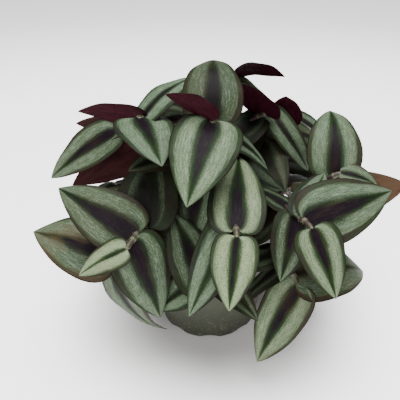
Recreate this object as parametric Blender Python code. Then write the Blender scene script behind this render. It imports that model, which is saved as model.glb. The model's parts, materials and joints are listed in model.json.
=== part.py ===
"""Potted tradescantia: leafy trailing stems rooted in soil, in a plain nursery pot.

Metres, +Z up. The origin is on the pot's axis, at the plane that the pot stands on, and -Y is the front.
Run with: blender --background --python part.py
"""

import itertools
import math
import random
from collections import namedtuple

import bmesh
import bpy
import numpy as np
from mathutils.bvhtree import BVHTree

MM = 0.001
GAP = 0.3 * MM

# Pot: a 10.5 cm nursery pot with an arched foot ring.
POT_HEIGHT = 93 * MM
POT_TOP_RADIUS = 52.5 * MM
POT_BASE_RADIUS = 37 * MM
POT_WALL = 1.5 * MM
POT_SIDES = 42
RIM_DEPTH = 10 * MM
RIM_STEP = 1.2 * MM
RIM_Z = POT_HEIGHT - RIM_DEPTH
FLOOR_LIFT = 3 * MM
FLOOR_THICKNESS = 1.8 * MM
FLOOR_TOP = FLOOR_LIFT + FLOOR_THICKNESS
BOSS_RADIUS = 13 * MM
FOOT_ARCHES = 9
ARCH_HALF_WIDTH = 8.2 * MM
ARCH_HEIGHT = 2.2 * MM
DRAIN_HOLES = 6
DRAIN_RADIUS = 3.5 * MM
DRAIN_RING = 25 * MM
POT_COLOUR = (0.066, 0.068, 0.047)

# Soil: the root ball, which fills the pot up to a little below the rim.
SOIL_TOP = POT_HEIGHT - 9 * MM
SOIL_BUMP = 0.9 * MM
SOIL_RINGS = 5
SOIL_SEED = 4
SOIL_COLOUR = (0.03, 0.02, 0.013)
HOLE_DEPTH = 14 * MM
HOLE_RADIUS = 2.6 * MM
HOLE_SIDES = 8

# Stems: soft round stalks, thicker at the sheath under each leaf.
STEM_BASE_RADIUS = 2.1 * MM
STEM_TIP_RADIUS = 1.4 * MM
SHEATH_SWELL = 0.7 * MM
STEM_SIDES = 5
STEM_RING_SPACING = 15 * MM
STEM_RISE = 0.45
STEM_CREST = 14 * MM
LEAF_COLOUR = (0.13, 0.19, 0.11)

# Blades: heart-shaped at the base, widest a third of the way out, and pointed.
BLADE_THICKNESS = 0.8 * MM
BLADE_CLEARANCE = 1.7 * MM
BLADE_ROWS = (0.0, 0.1, 0.34, 0.7, 1.0)
BLADE_COLUMNS = (-1.0, -0.5, 0.0, 0.5, 1.0)
FILL_COLUMNS = (-1.0, 0.0, 1.0)
BASE_ROUNDNESS = 0.38
TIP_SHARPNESS = 0.9
BASE_LOBE = 0.14
CUP = 0.22
FREE_FROM = 0.2

# Rule for the leaves that fill a stem below its shaped ones.
INTERNODE = 19 * MM
SIDE_ANGLE = 66
FILL_PITCH = 14
OUTWARD_DROP = 22
FILL_SEED = 11
SETTLE_STEPS = (0, 1, -1, 2, -2, 3, -3)
SHAPED_TURN = 7
FILL_TURN = 12
LOWEST_LEAF = 4 * MM

# A leaf: distance of its root back from the stem's tip in mm, then degrees for heading (0 is +X, -90 the
# front), pitch above level, roll (its face leans to its own left) and, after length and width in mm,
# how far it droops over its length and how steeply its halves fold up from the midrib.
Leaf = namedtuple(
    "Leaf", "back heading pitch roll length width droop fold columns", defaults=[BLADE_COLUMNS]
)

# A stem: its hole in the soil and its tip in mm, the heading and pitch in which it ends, its shaped leaves,
# and the number of leaves that the rule adds below them.
Stem = namedtuple("Stem", "name hole tip end leaves fill")

STEMS = (
    Stem("crown", (0, -10), (0, -50, 180), (-90, 15), (
        Leaf(0, 161, 31, -62, 31, 24, 15, 30),
        Leaf(3, -105, -18, 8, 58, 42, 30, 12),
        Leaf(7, 92, 74, 4, 57, 37, 95, 4),
        Leaf(32, -12, -12, 0, 46, 30, 45, 12),
    ), 2),
    Stem("upper_left", (-12, -6), (-47, -15, 168), (-150, 10), (
        Leaf(0, -70, 2, 0, 54, 38, 25, 14),
        Leaf(6, 150, 2, -65, 52, 21, 20, 10),
        Leaf(3, 32, 50, -5, 48, 27, 50, 10),
        Leaf(20, 35, 8, 0, 38, 28, 40, 15),
    ), 3),
    Stem("left", (-24, 2), (-66, 5, 151), (180, 0), (
        Leaf(0, -165, -25, 38, 60, 31, 30, 12),
        Leaf(7, 150, 2, -75, 40, 18, 30, 10),
        Leaf(30, 175, -22, -75, 66, 36, 25, 10),
    ), 3),
    Stem("front_left", (-22, -20), (-51, -79, 111), (-110, -10), (
        Leaf(0, -166, -16, 28, 35, 21, 35, 14),
        Leaf(8, -42, -62, -24, 58, 38, 25, 2),
        Leaf(13, 162, 27, 44, 59, 38, 20, 10),
        Leaf(23, 82, 52, 0, 52, 42, 20, 14),
        Leaf(32, -60, -72, 0, 42, 30, 20, 14),
    ), 1),
    Stem("front_centre", (2, -26), (13, -95, 130), (-90, -10), (
        Leaf(0, -102, -50, 0, 41, 29, 20, 20),
        Leaf(6, 86, 32, 0, 60, 35, 25, 12),
        Leaf(14, -125, -38, 22, 60, 30, 25, 20),
    ), 0),
    Stem("front_right", (20, -20), (59, -74, 122), (-70, -5), (
        Leaf(0, -58, -46, -10, 44, 33, 20, 16),
        Leaf(8, 11, 17, -42, 60, 41, 20, 8),
        Leaf(12, 58, 24, -15, 44, 26, 20, 20),
        Leaf(16, -111, -44, 20, 42, 30, 15, 20),
        Leaf(24, 140, 14, -10, 36, 24, 25, 15),
        Leaf(34, -165, -44, 14, 40, 28, 10, 14),
    ), 1),
    Stem("low_right", (27, -31), (56, -75, 78), (-60, -30), (
        Leaf(2, -149, -54, 20, 63, 35, 25, 18),
        Leaf(9, 13, 12, -25, 63, 43, 60, 10),
        Leaf(18, -172, -35, -10, 44, 28, 20, 15),
        Leaf(26, -150, 5, 0, 40, 26, 20, 15),
    ), 0),
    Stem("inner", (-8, -22), (-9, -32, 128), (-90, 20), (
        Leaf(1, -80, -58, 0, 44, 30, 15, 10),
    ), 3),
    Stem("low_centre", (-6, -34), (-4, -80, 82), (-95, -10), (
        Leaf(1, 125, 48, 10, 52, 36, 10, 16),
        Leaf(14, -40, -14, -10, 46, 28, 25, 20),
        Leaf(12, -172, -38, 30, 44, 30, 15, 15),
    ), 0),
    Stem("low_left", (-30, -16), (-67, -50, 80), (-130, -30), (
        Leaf(2, -76, -62, -61, 73, 40, 67, 15),
        Leaf(5, 173, 20, 36, 60, 46, 26, 12),
    ), 0),
    Stem("right", (33, -15), (88, -15, 129), (-20, 35), (
        Leaf(0, -20, 2, -30, 28, 19, 50, 20),
        Leaf(5, 86, 75, 0, 61, 38, 88, 6),
    ), 3),
    Stem("upper_right", (14, 0), (41, 10, 163), (20, 10), (
        Leaf(0, -50, -25, -45, 56, 20, 75, 25),
        Leaf(5, -125, 60, 0, 42, 30, 30, 10),
        Leaf(10, -140, -15, 0, 46, 30, 50, 12),
    ), 2),
    Stem("behind_right", (24, 8), (54, 20, 150), (0, 0), (
        Leaf(2, -98, 75, 0, 30, 26, 30, 10),
        Leaf(12, 0, 0, -15, 48, 32, 30, 12),
    ), 2),
    Stem("back", (4, 6), (17, 30, 185), (60, 20), (
        Leaf(0, 25, 10, 42, 38, 22, 50, 10),
        Leaf(8, -5, -15, -25, 40, 28, 40, 10),
    ), 2),
    Stem("rear_left", (-20, 16), (-66, 45, 145), (150, -10), (), 5),
    Stem("rear", (-4, 24), (-10, 80, 150), (95, 0), (), 5),
    Stem("rear_right", (22, 22), (62, 56, 145), (40, -5), (), 5),
    Stem("low_rear_left", (-18, 34), (-50, 82, 95), (120, -30), (), 5),
    Stem("low_rear", (6, 38), (16, 100, 92), (80, -30), (), 5),
    Stem("low_rear_right", (34, 24), (74, 72, 92), (45, -30), (), 5),
    Stem("far_right", (40, 2), (92, 22, 86), (10, -30), (
        Leaf(1, 0, 15, 110, 60, 38, 20, 8),
    ), 4),
    Stem("far_left", (-38, 6), (-88, 24, 92), (165, -30), (), 5),
    Stem("side_left", (-40, -8), (-84, -8, 74), (-170, -40), (), 3),
    Stem("side_right", (38, -9), (80, 14, 76), (5, -40), (), 3),
    Stem("deep_rear_left", (-30, 26), (-64, 54, 76), (140, -45), (), 3),
    Stem("deep_rear", (-6, 40), (-16, 88, 70), (100, -50), (), 3),
    Stem("deep_rear_right", (22, 34), (46, 80, 72), (60, -50), (), 3),
)


def unit(vector):
    return vector / np.linalg.norm(vector)


def direction(heading, pitch):
    """Unit vector for a heading and a pitch in degrees."""
    turn, rise = math.radians(heading), math.radians(pitch)
    return np.array([math.cos(turn) * math.cos(rise), math.sin(turn) * math.cos(rise), math.sin(rise)])


def blade_axes(leaf):
    """The blade's own forward, left and face directions at its root."""
    forward = direction(leaf.heading, leaf.pitch)
    level = direction(leaf.heading + 90, 0)
    upright = np.cross(forward, level)
    roll = math.radians(leaf.roll)
    left = level * math.cos(roll) - upright * math.sin(roll)
    return forward, left, np.cross(forward, left)


def outline(along):
    """Half-width of the blade as a share of its widest, from 0 at the root to 0 at the tip."""
    widest = BASE_ROUNDNESS / (BASE_ROUNDNESS + TIP_SHARPNESS)
    toward_base = (along / widest) ** BASE_ROUNDNESS
    toward_tip = ((1 - along) / (1 - widest)) ** TIP_SHARPNESS
    return toward_base * toward_tip


def blade_surface(leaf, root, along, across):
    """Middle surface of a blade and its normals, each as an array of rows by columns by 3."""
    forward, left, face = blade_axes(leaf)
    length, half_width = leaf.length * MM, leaf.width * MM / 2
    fold = math.radians(leaf.fold)
    s = np.array(along, float)[:, None, None]
    t = np.array(across, float)[None, :, None]
    droop = max(math.radians(leaf.droop), 0.001)
    bend = droop * s
    ahead = np.cos(bend) * forward - np.sin(bend) * face
    above = np.cos(bend) * face + np.sin(bend) * forward
    midrib = root + length / droop * (np.sin(bend) * forward - (1 - np.cos(bend)) * face)
    half = half_width * outline(s)
    lobe = BASE_LOBE * length * np.abs(t) ** 1.5 * (1 - s) ** 3 * outline(s)
    lift = half * (np.abs(t) * math.sin(fold) - CUP * t**2)
    points = midrib - ahead * lobe + left * half * t * math.cos(fold) + above * lift
    slope = np.sign(t) * math.tan(fold) - 2 * CUP * t
    normals = above - left * slope
    return points, normals / np.linalg.norm(normals, axis=2, keepdims=True)


def blade_solid(leaf, root, thickness=BLADE_THICKNESS):
    """Vertices and triangles of a closed blade, whose ends are single points on each face."""
    points, normals = blade_surface(leaf, root, BLADE_ROWS, leaf.columns)
    half = normals * thickness / 2
    columns = len(leaf.columns)
    inner = range(1, len(BLADE_ROWS) - 1)
    middle = columns // 2
    vertices, index = [], {}
    for side, sheet in enumerate((points + half, points - half)):
        index[side, "root"] = len(vertices)
        vertices.append(sheet[0, middle])
        for row in inner:
            for column in range(columns):
                index[side, row, column] = len(vertices)
                vertices.append(sheet[row, column])
        index[side, "tip"] = len(vertices)
        vertices.append(sheet[-1, middle])
    triangles = []
    for side in (0, 1):
        cell = [(index[side, "root"], index[side, 1, c], index[side, 1, c + 1]) for c in range(columns - 1)]
        for row in inner[:-1]:
            for c in range(columns - 1):
                a, b = index[side, row, c], index[side, row, c + 1]
                d, e = index[side, row + 1, c], index[side, row + 1, c + 1]
                cell += [(a, d, e), (a, e, b)] if c < middle else [(a, d, b), (b, d, e)]
        last = inner[-1]
        cell += [(index[side, last, c], index[side, "tip"], index[side, last, c + 1]) for c in range(columns - 1)]
        triangles += [tri if side == 0 else tri[::-1] for tri in cell]
    for column in (0, columns - 1):
        keys = ["root"] + [(row, column) for row in inner] + ["tip"]
        for first, second in itertools.pairwise(keys):
            a, b = (index[(0, *k) if isinstance(k, tuple) else (0, k)] for k in (first, second))
            c, d = (index[(1, *k) if isinstance(k, tuple) else (1, k)] for k in (first, second))
            wall = [(a, c, d), (a, d, b)]
            triangles += wall if column == 0 else [tri[::-1] for tri in wall]
    return np.array(vertices), triangles


def blade_probe(leaf, root, start=0.0):
    """Search tree of a blade thickened by its clearance, from a share of its length to the tip."""
    rows = [s for s in BLADE_ROWS if s > start]
    rows = [start, *rows] if start else [0.01, *rows[:-1], 0.99]
    points, normals = blade_surface(leaf, root, rows, leaf.columns)
    vertices, triangles = [], []
    columns = len(leaf.columns)
    for sheet in (points + normals * BLADE_CLEARANCE / 2, points - normals * BLADE_CLEARANCE / 2):
        base = len(vertices)
        vertices += [tuple(p) for p in sheet.reshape(-1, 3)]
        for row, column in itertools.product(range(len(rows) - 1), range(columns - 1)):
            a = base + row * columns + column
            triangles += [(a, a + columns, a + columns + 1), (a, a + columns + 1, a + 1)]
    offset = len(rows) * columns
    rim = [row * columns for row in range(len(rows))]
    rim += [offset - columns + column for column in range(1, columns)]
    rim += [row * columns + columns - 1 for row in range(len(rows) - 2, -1, -1)]
    rim += [column for column in range(columns - 2, -1, -1)]
    for a, b in itertools.pairwise(rim):
        triangles += [(a, a + offset, b + offset), (a, b + offset, b)]
    return BVHTree.FromPolygons(vertices, triangles)


def stem_curve(stem, count=160):
    """Points along a stem: up out of its hole, then over to its tip in the direction in which it ends."""
    start = np.array([stem.hole[0] * MM, stem.hole[1] * MM, SOIL_TOP - HOLE_DEPTH + GAP])
    mouth = start + np.array([0, 0, HOLE_DEPTH + 2 * MM])
    tip = np.array(stem.tip) * MM
    reach = np.linalg.norm(tip - mouth) * STEM_RISE
    climb = reach + max(POT_HEIGHT + STEM_CREST - tip[2], 0)
    handles = (mouth, mouth + np.array([0, 0, climb]), tip - direction(*stem.end) * reach, tip)
    s = np.linspace(0, 1, count)[:, None]
    arch = sum(math.comb(3, i) * (1 - s) ** (3 - i) * s**i * handle for i, handle in enumerate(handles))
    return np.vstack([start, arch])


def along_curve(curve, back):
    """Point and direction on a curve at a distance back from its end."""
    steps = np.linalg.norm(np.diff(curve, axis=0), axis=1)
    travelled = np.concatenate([[0], np.cumsum(steps)])
    place = max(travelled[-1] - back, 0)
    point = np.array([np.interp(place, travelled, curve[:, axis]) for axis in range(3)])
    step = min(np.searchsorted(travelled, place, side="right"), len(steps)) - 1
    return point, unit(curve[step + 1] - curve[step]), travelled[-1]


def stem_tube(curve, nodes, extra=0):
    """Vertices and triangles of a stem that swells at each node, all made thicker by an extra amount."""
    total = along_curve(curve, 0)[2]
    marks = set(np.linspace(0, total, max(3, round(total / STEM_RING_SPACING)) + 1))
    marks = sorted({round(m, 6) for m in marks} | {round(n, 6) for n in nodes if n < total})
    marks = [m for i, m in enumerate(marks) if i == 0 or m - marks[i - 1] > 1.5 * MM or m == marks[-1]]
    vertices, triangles = [], []
    for mark in reversed(marks):
        centre, heading, _ = along_curve(curve, mark)
        side = unit(np.cross(heading, [0.13, 0.9, 0.41]))
        other = np.cross(heading, side)
        share = mark / total
        radius = STEM_TIP_RADIUS + (STEM_BASE_RADIUS - STEM_TIP_RADIUS) * share + extra
        if any(abs(mark - node) < 1e-5 for node in nodes):
            radius += SHEATH_SWELL
        for k in range(STEM_SIDES):
            turn = 2 * math.pi * k / STEM_SIDES
            vertices.append(centre + radius * (math.cos(turn) * side + math.sin(turn) * other))
    rings = len(marks)
    for ring, k in itertools.product(range(rings - 1), range(STEM_SIDES)):
        a, b = ring * STEM_SIDES + k, ring * STEM_SIDES + (k + 1) % STEM_SIDES
        triangles += [(a, b, b + STEM_SIDES), (a, b + STEM_SIDES, a + STEM_SIDES)]
    for k in range(1, STEM_SIDES - 1):
        triangles.append((0, k + 1, k))
        last = (rings - 1) * STEM_SIDES
        triangles.append((last, last + k, last + k + 1))
    return np.array(vertices), triangles


def tree_of(solid):
    vertices, triangles = solid
    return BVHTree.FromPolygons([tuple(v) for v in vertices], triangles)


def settle_offsets():
    """Small turns of heading, pitch and roll, the smallest first."""
    turns = itertools.product(SETTLE_STEPS, repeat=3)
    return sorted(turns, key=lambda turn: sum(t * t for t in turn))


def fill_leaves(stem, curve, draw):
    """Leaves on the nodes below the shaped ones, in two ranks, the older ones lower and larger."""
    back = max([leaf.back for leaf in stem.leaves], default=2 - INTERNODE / MM)
    made = []
    for rank in range(stem.fill):
        back += draw.uniform(0.85, 1.15) * INTERNODE / MM if back > 0 else INTERNODE / MM
        root, heading, total = along_curve(curve, back * MM)
        turn = math.degrees(math.atan2(heading[1], heading[0]))
        side = SIDE_ANGLE if rank % 2 else -SIDE_ANGLE
        outward = math.hypot(root[0], root[1]) / POT_TOP_RADIUS
        pitch = FILL_PITCH - OUTWARD_DROP * outward + draw.uniform(-18, 18)
        size = draw.uniform(50, 62)
        made.append(Leaf(
            back, turn + side + draw.uniform(-18, 18), pitch, draw.uniform(-15, 15),
            size, size * draw.uniform(0.62, 0.72), draw.uniform(20, 45), draw.uniform(6, 20), FILL_COLUMNS,
        ))
        if back * MM > total - HOLE_DEPTH - 25 * MM:
            break
    return made


def grow(stems=STEMS):
    """Settles every leaf clear of the others: {stem name: (curve, [(leaf, root), ...])}, and what gave way."""
    draw = random.Random(FILL_SEED)
    curves = {stem.name: stem_curve(stem) for stem in stems}
    trees = [(stem.name, tree_of(stem_tube(curves[stem.name], (), SHEATH_SWELL))) for stem in stems]
    trees.append(("pot", tree_of(pot_envelope())))
    own = {stem.name: [] for stem in stems}
    grown = {stem.name: (curves[stem.name], []) for stem in stems}
    offsets = settle_offsets()
    notes = []
    planned = [(stem, leaf) for stem in stems for leaf in stem.leaves]
    planned += [(stem, leaf) for stem in stems for leaf in fill_leaves(stem, curves[stem.name], draw)]
    for stem, leaf in planned:
        root, _, _ = along_curve(curves[stem.name], leaf.back * MM)
        unit_turn = SHAPED_TURN if leaf in stem.leaves else FILL_TURN
        for turn in offsets:
            heading, pitch, roll = (unit_turn * step for step in turn)
            tried = leaf._replace(heading=leaf.heading + heading, pitch=leaf.pitch + pitch, roll=leaf.roll + roll)
            points, _ = blade_surface(tried, root, BLADE_ROWS, leaf.columns)
            if points[..., 2].min() < LOWEST_LEAF:
                continue
            probe = blade_probe(tried, root)
            if any(name != stem.name and probe.overlap(tree) for name, tree in trees):
                continue
            free = blade_probe(tried, root, FREE_FROM)
            if any(free.overlap(tree) for tree in own[stem.name]):
                continue
            if any(name == stem.name and free.overlap(tree) for name, tree in trees[:len(stems)]):
                continue
            trees.append((stem.name, tree_of(blade_solid(tried, root))))
            own[stem.name].append(free)
            grown[stem.name][1].append((tried, root))
            if any(turn):
                notes.append((stem.name, leaf.back, turn))
            break
        else:
            notes.append((stem.name, leaf.back, "left out"))
    return grown, notes


def pot_radius(height):
    """Outer radius of the pot's wall at a height."""
    return POT_BASE_RADIUS + (POT_TOP_RADIUS - RIM_STEP - POT_BASE_RADIUS) * height / POT_HEIGHT


def pot_profile():
    """Half-section of the pot, from the boss's underside round the outside and back down the inside."""
    foot = POT_BASE_RADIUS - 2 * MM
    return [
        (0, 0),
        (BOSS_RADIUS, 0),
        (BOSS_RADIUS + 1 * MM, FLOOR_LIFT),
        (foot, FLOOR_LIFT),
        (foot, 0),
        (POT_BASE_RADIUS, 0),
        (pot_radius(RIM_Z), RIM_Z),
        (POT_TOP_RADIUS - 0.4 * MM, RIM_Z + 1.2 * MM),
        (POT_TOP_RADIUS, POT_HEIGHT - 1 * MM),
        (POT_TOP_RADIUS - 0.8 * MM, POT_HEIGHT),
        (POT_TOP_RADIUS - 1.7 * MM, POT_HEIGHT - 0.2 * MM),
        (POT_TOP_RADIUS - 2.1 * MM, RIM_Z + 2.6 * MM),
        *inner_profile(0),
    ]


def inner_profile(inset):
    """The pot's inside below the rim, moved inward, from the top of the wall to the centre of the floor."""
    floor = FLOOR_TOP + inset
    return [
        (pot_radius(RIM_Z) - POT_WALL - inset, RIM_Z - 0.5 * MM),
        (pot_radius(FLOOR_TOP) - POT_WALL - inset, floor + 1 * MM),
        (pot_radius(FLOOR_TOP) - POT_WALL - 1 * MM - inset, floor),
        (0, floor),
    ]


def turned(profile, sides):
    """Vertices and faces of a half-section turned about Z, which runs anticlockwise from axis to axis."""
    vertices, faces, rings = [], [], []
    for radius, height in profile:
        count = sides if radius else 1
        rings.append([len(vertices) + k % count for k in range(sides)])
        for k in range(count):
            turn = 2 * math.pi * k / sides
            vertices.append((radius * math.cos(turn), radius * math.sin(turn), height))
    for lower, upper in itertools.pairwise(rings):
        for k in range(sides):
            after = (k + 1) % sides
            corners = tuple(dict.fromkeys((lower[k], lower[after], upper[after], upper[k])))
            if len(corners) > 2:
                faces.append(corners)
    return np.array(vertices), faces


def pot_envelope():
    """The outside of the potted soil with the clearance that leaves keep from it, as triangles."""
    room = 1 * MM
    profile = [
        (0, -room),
        (POT_BASE_RADIUS + room, -room),
        (POT_TOP_RADIUS + room, RIM_Z),
        (POT_TOP_RADIUS + room, POT_HEIGHT + room),
        (POT_TOP_RADIUS - 4 * MM, POT_HEIGHT + room),
        (POT_TOP_RADIUS - 6 * MM, SOIL_TOP + room),
        (0, SOIL_TOP + room),
    ]
    vertices, faces = turned(profile, POT_SIDES)
    return vertices, [(f[0], f[i], f[i + 1]) for f in faces for i in range(1, len(f) - 1)]


def clear_scene():
    for obj in list(bpy.data.objects):
        bpy.data.objects.remove(obj, do_unlink=True)


def material(name, colour, roughness):
    surface = bpy.data.materials.new(name)
    surface.use_nodes = True
    shader = surface.node_tree.nodes["Principled BSDF"]
    shader.inputs["Base Color"].default_value = (*colour, 1)
    shader.inputs["Roughness"].default_value = roughness
    shader.inputs["Metallic"].default_value = 0
    return surface


def add_mesh(name, vertices, faces, collection=None):
    mesh = bpy.data.meshes.new(name)
    mesh.from_pydata([tuple(v) for v in vertices], [], [tuple(f) for f in faces])
    obj = bpy.data.objects.new(name, mesh)
    (collection or bpy.context.scene.collection).objects.link(obj)
    return obj


def hidden_cutter(obj):
    obj.hide_render = True
    obj.display_type = "WIRE"


def is_closed(mesh):
    """Whether exactly two faces meet at every edge."""
    work = bmesh.new()
    work.from_mesh(mesh)
    closed = all(edge.is_manifold for edge in work.edges)
    work.free()
    return closed


def combine(obj, collection, operation):
    """Applies one Boolean between an object and a collection, then removes the collection's objects."""
    boolean = obj.modifiers.new("combine", "BOOLEAN")
    boolean.operand_type = "COLLECTION"
    boolean.collection = collection
    boolean.operation = operation
    for solver in ("EXACT", "MANIFOLD"):
        boolean.solver = solver
        graph = bpy.context.evaluated_depsgraph_get()
        joined = bpy.data.meshes.new_from_object(obj.evaluated_get(graph))
        if is_closed(joined):
            break
    obj.modifiers.clear()
    obj.data = joined
    for helper in list(collection.objects):
        bpy.data.objects.remove(helper, do_unlink=True)
    bpy.data.collections.remove(collection)


def keep_largest(mesh):
    """Drops every loose shell but the largest, so a hollow that fusing has sealed is filled."""
    work = bmesh.new()
    work.from_mesh(mesh)
    waiting, shells = set(work.verts), []
    while waiting:
        shell, edge_of = set(), [waiting.pop()]
        while edge_of:
            vertex = edge_of.pop()
            shell.add(vertex)
            around = {edge.other_vert(vertex) for edge in vertex.link_edges} & waiting
            waiting -= around
            edge_of += around
        shells.append(shell)
    largest = max(shells, key=len)
    spare = [vertex for shell in shells if shell is not largest for vertex in shell]
    bmesh.ops.delete(work, geom=spare, context="VERTS")
    work.to_mesh(mesh)
    work.free()


def finish_object(obj, name, surface, origin, parent):
    """Names an object, gives it its material and shading, and moves its origin to its own place."""
    obj.name = name
    obj.data.name = name
    obj.data.materials.clear()
    obj.data.materials.append(surface)
    obj.data.shade_smooth()
    obj.data.set_sharp_from_angle(angle=math.radians(40))
    obj.data.vertices.foreach_set("co", (coordinates(obj.data) - np.array(origin)).ravel())
    obj.data.update()
    obj.location = origin
    obj.parent = parent


def coordinates(mesh):
    values = np.empty(len(mesh.vertices) * 3, np.float32)
    mesh.vertices.foreach_get("co", values)
    return values.reshape(-1, 3).astype(float)


def new_collection(name):
    collection = bpy.data.collections.new(name)
    bpy.context.scene.collection.children.link(collection)
    return collection


def post_cutter(radius, low, high, sides, place, collection):
    """A closed upright prism at a place, to be cut away."""
    vertices, faces = turned([(0, low), (radius, low), (radius, high), (0, high)], sides)
    hidden_cutter(add_mesh("post", vertices + np.array([*place, 0]), faces, collection))


def arch_cutter(turn, collection):
    """A closed arched prism through the foot ring at an angle, to be cut away."""
    inside, outside = POT_BASE_RADIUS - 5 * MM, POT_BASE_RADIUS + 3 * MM
    steps = np.linspace(-1, 1, 7)
    section = [(ARCH_HALF_WIDTH * step, ARCH_HEIGHT * (1 - step * step)) for step in steps]
    section = [(-ARCH_HALF_WIDTH, -2 * MM), *section, (ARCH_HALF_WIDTH, -2 * MM)]
    outward, sideways = direction(turn, 0), direction(turn + 90, 0)
    vertices = [outward * reach + sideways * x + np.array([0, 0, z]) for reach in (inside, outside) for x, z in section]
    count = len(section)
    faces = [tuple(range(count)), tuple(range(2 * count - 1, count - 1, -1))]
    for k in range(count):
        after = (k + 1) % count
        faces.append((after, k, k + count, after + count))
    hidden_cutter(add_mesh("arch", vertices, faces, collection))


def make_pot(parent):
    pot = add_mesh("pot", *turned(pot_profile(), POT_SIDES))
    cuts = new_collection("pot cuts")
    for k in range(FOOT_ARCHES):
        arch_cutter(-90 + 360 * k / FOOT_ARCHES, cuts)
    for k in range(DRAIN_HOLES):
        place = DRAIN_RING * direction(30 + 360 * k / DRAIN_HOLES, 0)[:2]
        post_cutter(DRAIN_RADIUS, FLOOR_LIFT - 2 * MM, FLOOR_TOP + 2 * MM, 10, place, cuts)
    combine(pot, cuts, "DIFFERENCE")
    finish_object(pot, "pot", material("pot plastic", POT_COLOUR, 0.55), (0, 0, 0), parent)


def make_soil(parent):
    """The root ball, with an uneven top and a plain hole for each stem."""
    edge = pot_radius(RIM_Z) - POT_WALL - GAP
    base = inner_profile(GAP)[::-1]
    top = [(edge * share, SOIL_TOP - 0.5 * MM) for share in np.linspace(0.97, 0, SOIL_RINGS)]
    vertices, faces = turned(base + top, POT_SIDES)
    draw = random.Random(SOIL_SEED)
    upper = vertices[:, 2] > SOIL_TOP - 1 * MM
    vertices[upper, 2] += [draw.uniform(-SOIL_BUMP, SOIL_BUMP) for _ in range(int(upper.sum()))]
    soil = add_mesh("soil", vertices, faces)
    holes = new_collection("stem holes")
    for stem in STEMS:
        place = np.array(stem.hole) * MM
        post_cutter(HOLE_RADIUS, SOIL_TOP - HOLE_DEPTH, SOIL_TOP + 4 * MM, HOLE_SIDES, place, holes)
    combine(soil, holes, "DIFFERENCE")
    origin = (0, 0, FLOOR_TOP + GAP)
    finish_object(soil, "soil", material("potting soil", SOIL_COLOUR, 0.95), origin, parent)


def make_stem(stem, curve, leaves, surface, parent):
    """One leafy stem: its stalk and its leaves, fused."""
    nodes = [leaf.back * MM for leaf, _ in leaves]
    stalk = add_mesh(stem.name, *stem_tube(curve, nodes))
    blades = new_collection(stem.name + " leaves")
    for leaf, root in leaves:
        add_mesh("blade", *blade_solid(leaf, root), blades)
    combine(stalk, blades, "UNION")
    keep_largest(stalk.data)
    origin = (stem.hole[0] * MM, stem.hole[1] * MM, SOIL_TOP)
    finish_object(stalk, "stem_" + stem.name, surface, origin, parent)


def main():
    clear_scene()
    parent = bpy.data.objects.new("potted_tradescantia", None)
    bpy.context.scene.collection.objects.link(parent)
    make_pot(parent)
    make_soil(parent)
    foliage = material("striped leaf", LEAF_COLOUR, 0.45)
    grown, _ = grow()
    for stem in STEMS:
        make_stem(stem, *grown[stem.name], foliage, parent)


if __name__ == "__main__":
    main()
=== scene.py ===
"""Dresses the potted tradescantia: striped blades, stalks with hairy sheaths, the pot, soil and a stage."""

import itertools
import json
import math
import random
from collections import namedtuple

import bpy
import numpy as np
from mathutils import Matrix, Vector
from mathutils.bvhtree import BVHTree

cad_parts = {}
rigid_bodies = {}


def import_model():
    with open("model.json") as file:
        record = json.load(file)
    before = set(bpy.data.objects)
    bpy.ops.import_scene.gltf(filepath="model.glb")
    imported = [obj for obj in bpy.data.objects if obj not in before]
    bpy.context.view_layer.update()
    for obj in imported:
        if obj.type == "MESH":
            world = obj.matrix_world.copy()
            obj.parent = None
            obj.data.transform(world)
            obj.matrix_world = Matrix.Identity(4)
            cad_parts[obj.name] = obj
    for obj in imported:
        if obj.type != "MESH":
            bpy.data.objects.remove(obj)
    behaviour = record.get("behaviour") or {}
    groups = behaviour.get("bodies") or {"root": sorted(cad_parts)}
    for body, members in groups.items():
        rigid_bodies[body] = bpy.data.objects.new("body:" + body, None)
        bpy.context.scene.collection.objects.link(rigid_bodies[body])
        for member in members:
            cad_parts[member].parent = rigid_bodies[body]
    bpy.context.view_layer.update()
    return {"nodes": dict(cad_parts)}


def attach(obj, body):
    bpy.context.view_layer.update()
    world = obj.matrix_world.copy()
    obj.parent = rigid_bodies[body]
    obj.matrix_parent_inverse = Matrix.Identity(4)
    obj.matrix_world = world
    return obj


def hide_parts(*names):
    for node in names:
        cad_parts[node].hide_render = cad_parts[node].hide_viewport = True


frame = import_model()

bl_info = {
    "name": "Potted Tradescantia",
    "version": (1, 0, 0),
    "blender": (4, 5, 0),
    "location": "View3D > Sidebar > Tradescantia",
    "description": "Builds the leaves, stalks, pot, soil and stage of a potted tradescantia",
    "category": "Add Mesh",
}

MM = 0.001
GAP = 0.3 * MM

# Pot: a 10.5 cm nursery pot with an arched foot ring.
POT_HEIGHT = 93 * MM
POT_TOP_RADIUS = 52.5 * MM
POT_BASE_RADIUS = 37 * MM
POT_WALL = 1.5 * MM
POT_SIDES = 42
RIM_DEPTH = 10 * MM
RIM_STEP = 1.2 * MM
RIM_Z = POT_HEIGHT - RIM_DEPTH
FLOOR_LIFT = 3 * MM
FLOOR_THICKNESS = 1.8 * MM
FLOOR_TOP = FLOOR_LIFT + FLOOR_THICKNESS
BOSS_RADIUS = 13 * MM
FOOT_ARCHES = 9
ARCH_HALF_WIDTH = 8.2 * MM
ARCH_HEIGHT = 2.2 * MM
DRAIN_HOLES = 6
DRAIN_RADIUS = 3.5 * MM
DRAIN_RING = 25 * MM

# Soil: the root ball, which fills the pot up to a little below the rim.
SOIL_TOP = POT_HEIGHT - 9 * MM
HOLE_DEPTH = 14 * MM

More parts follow.
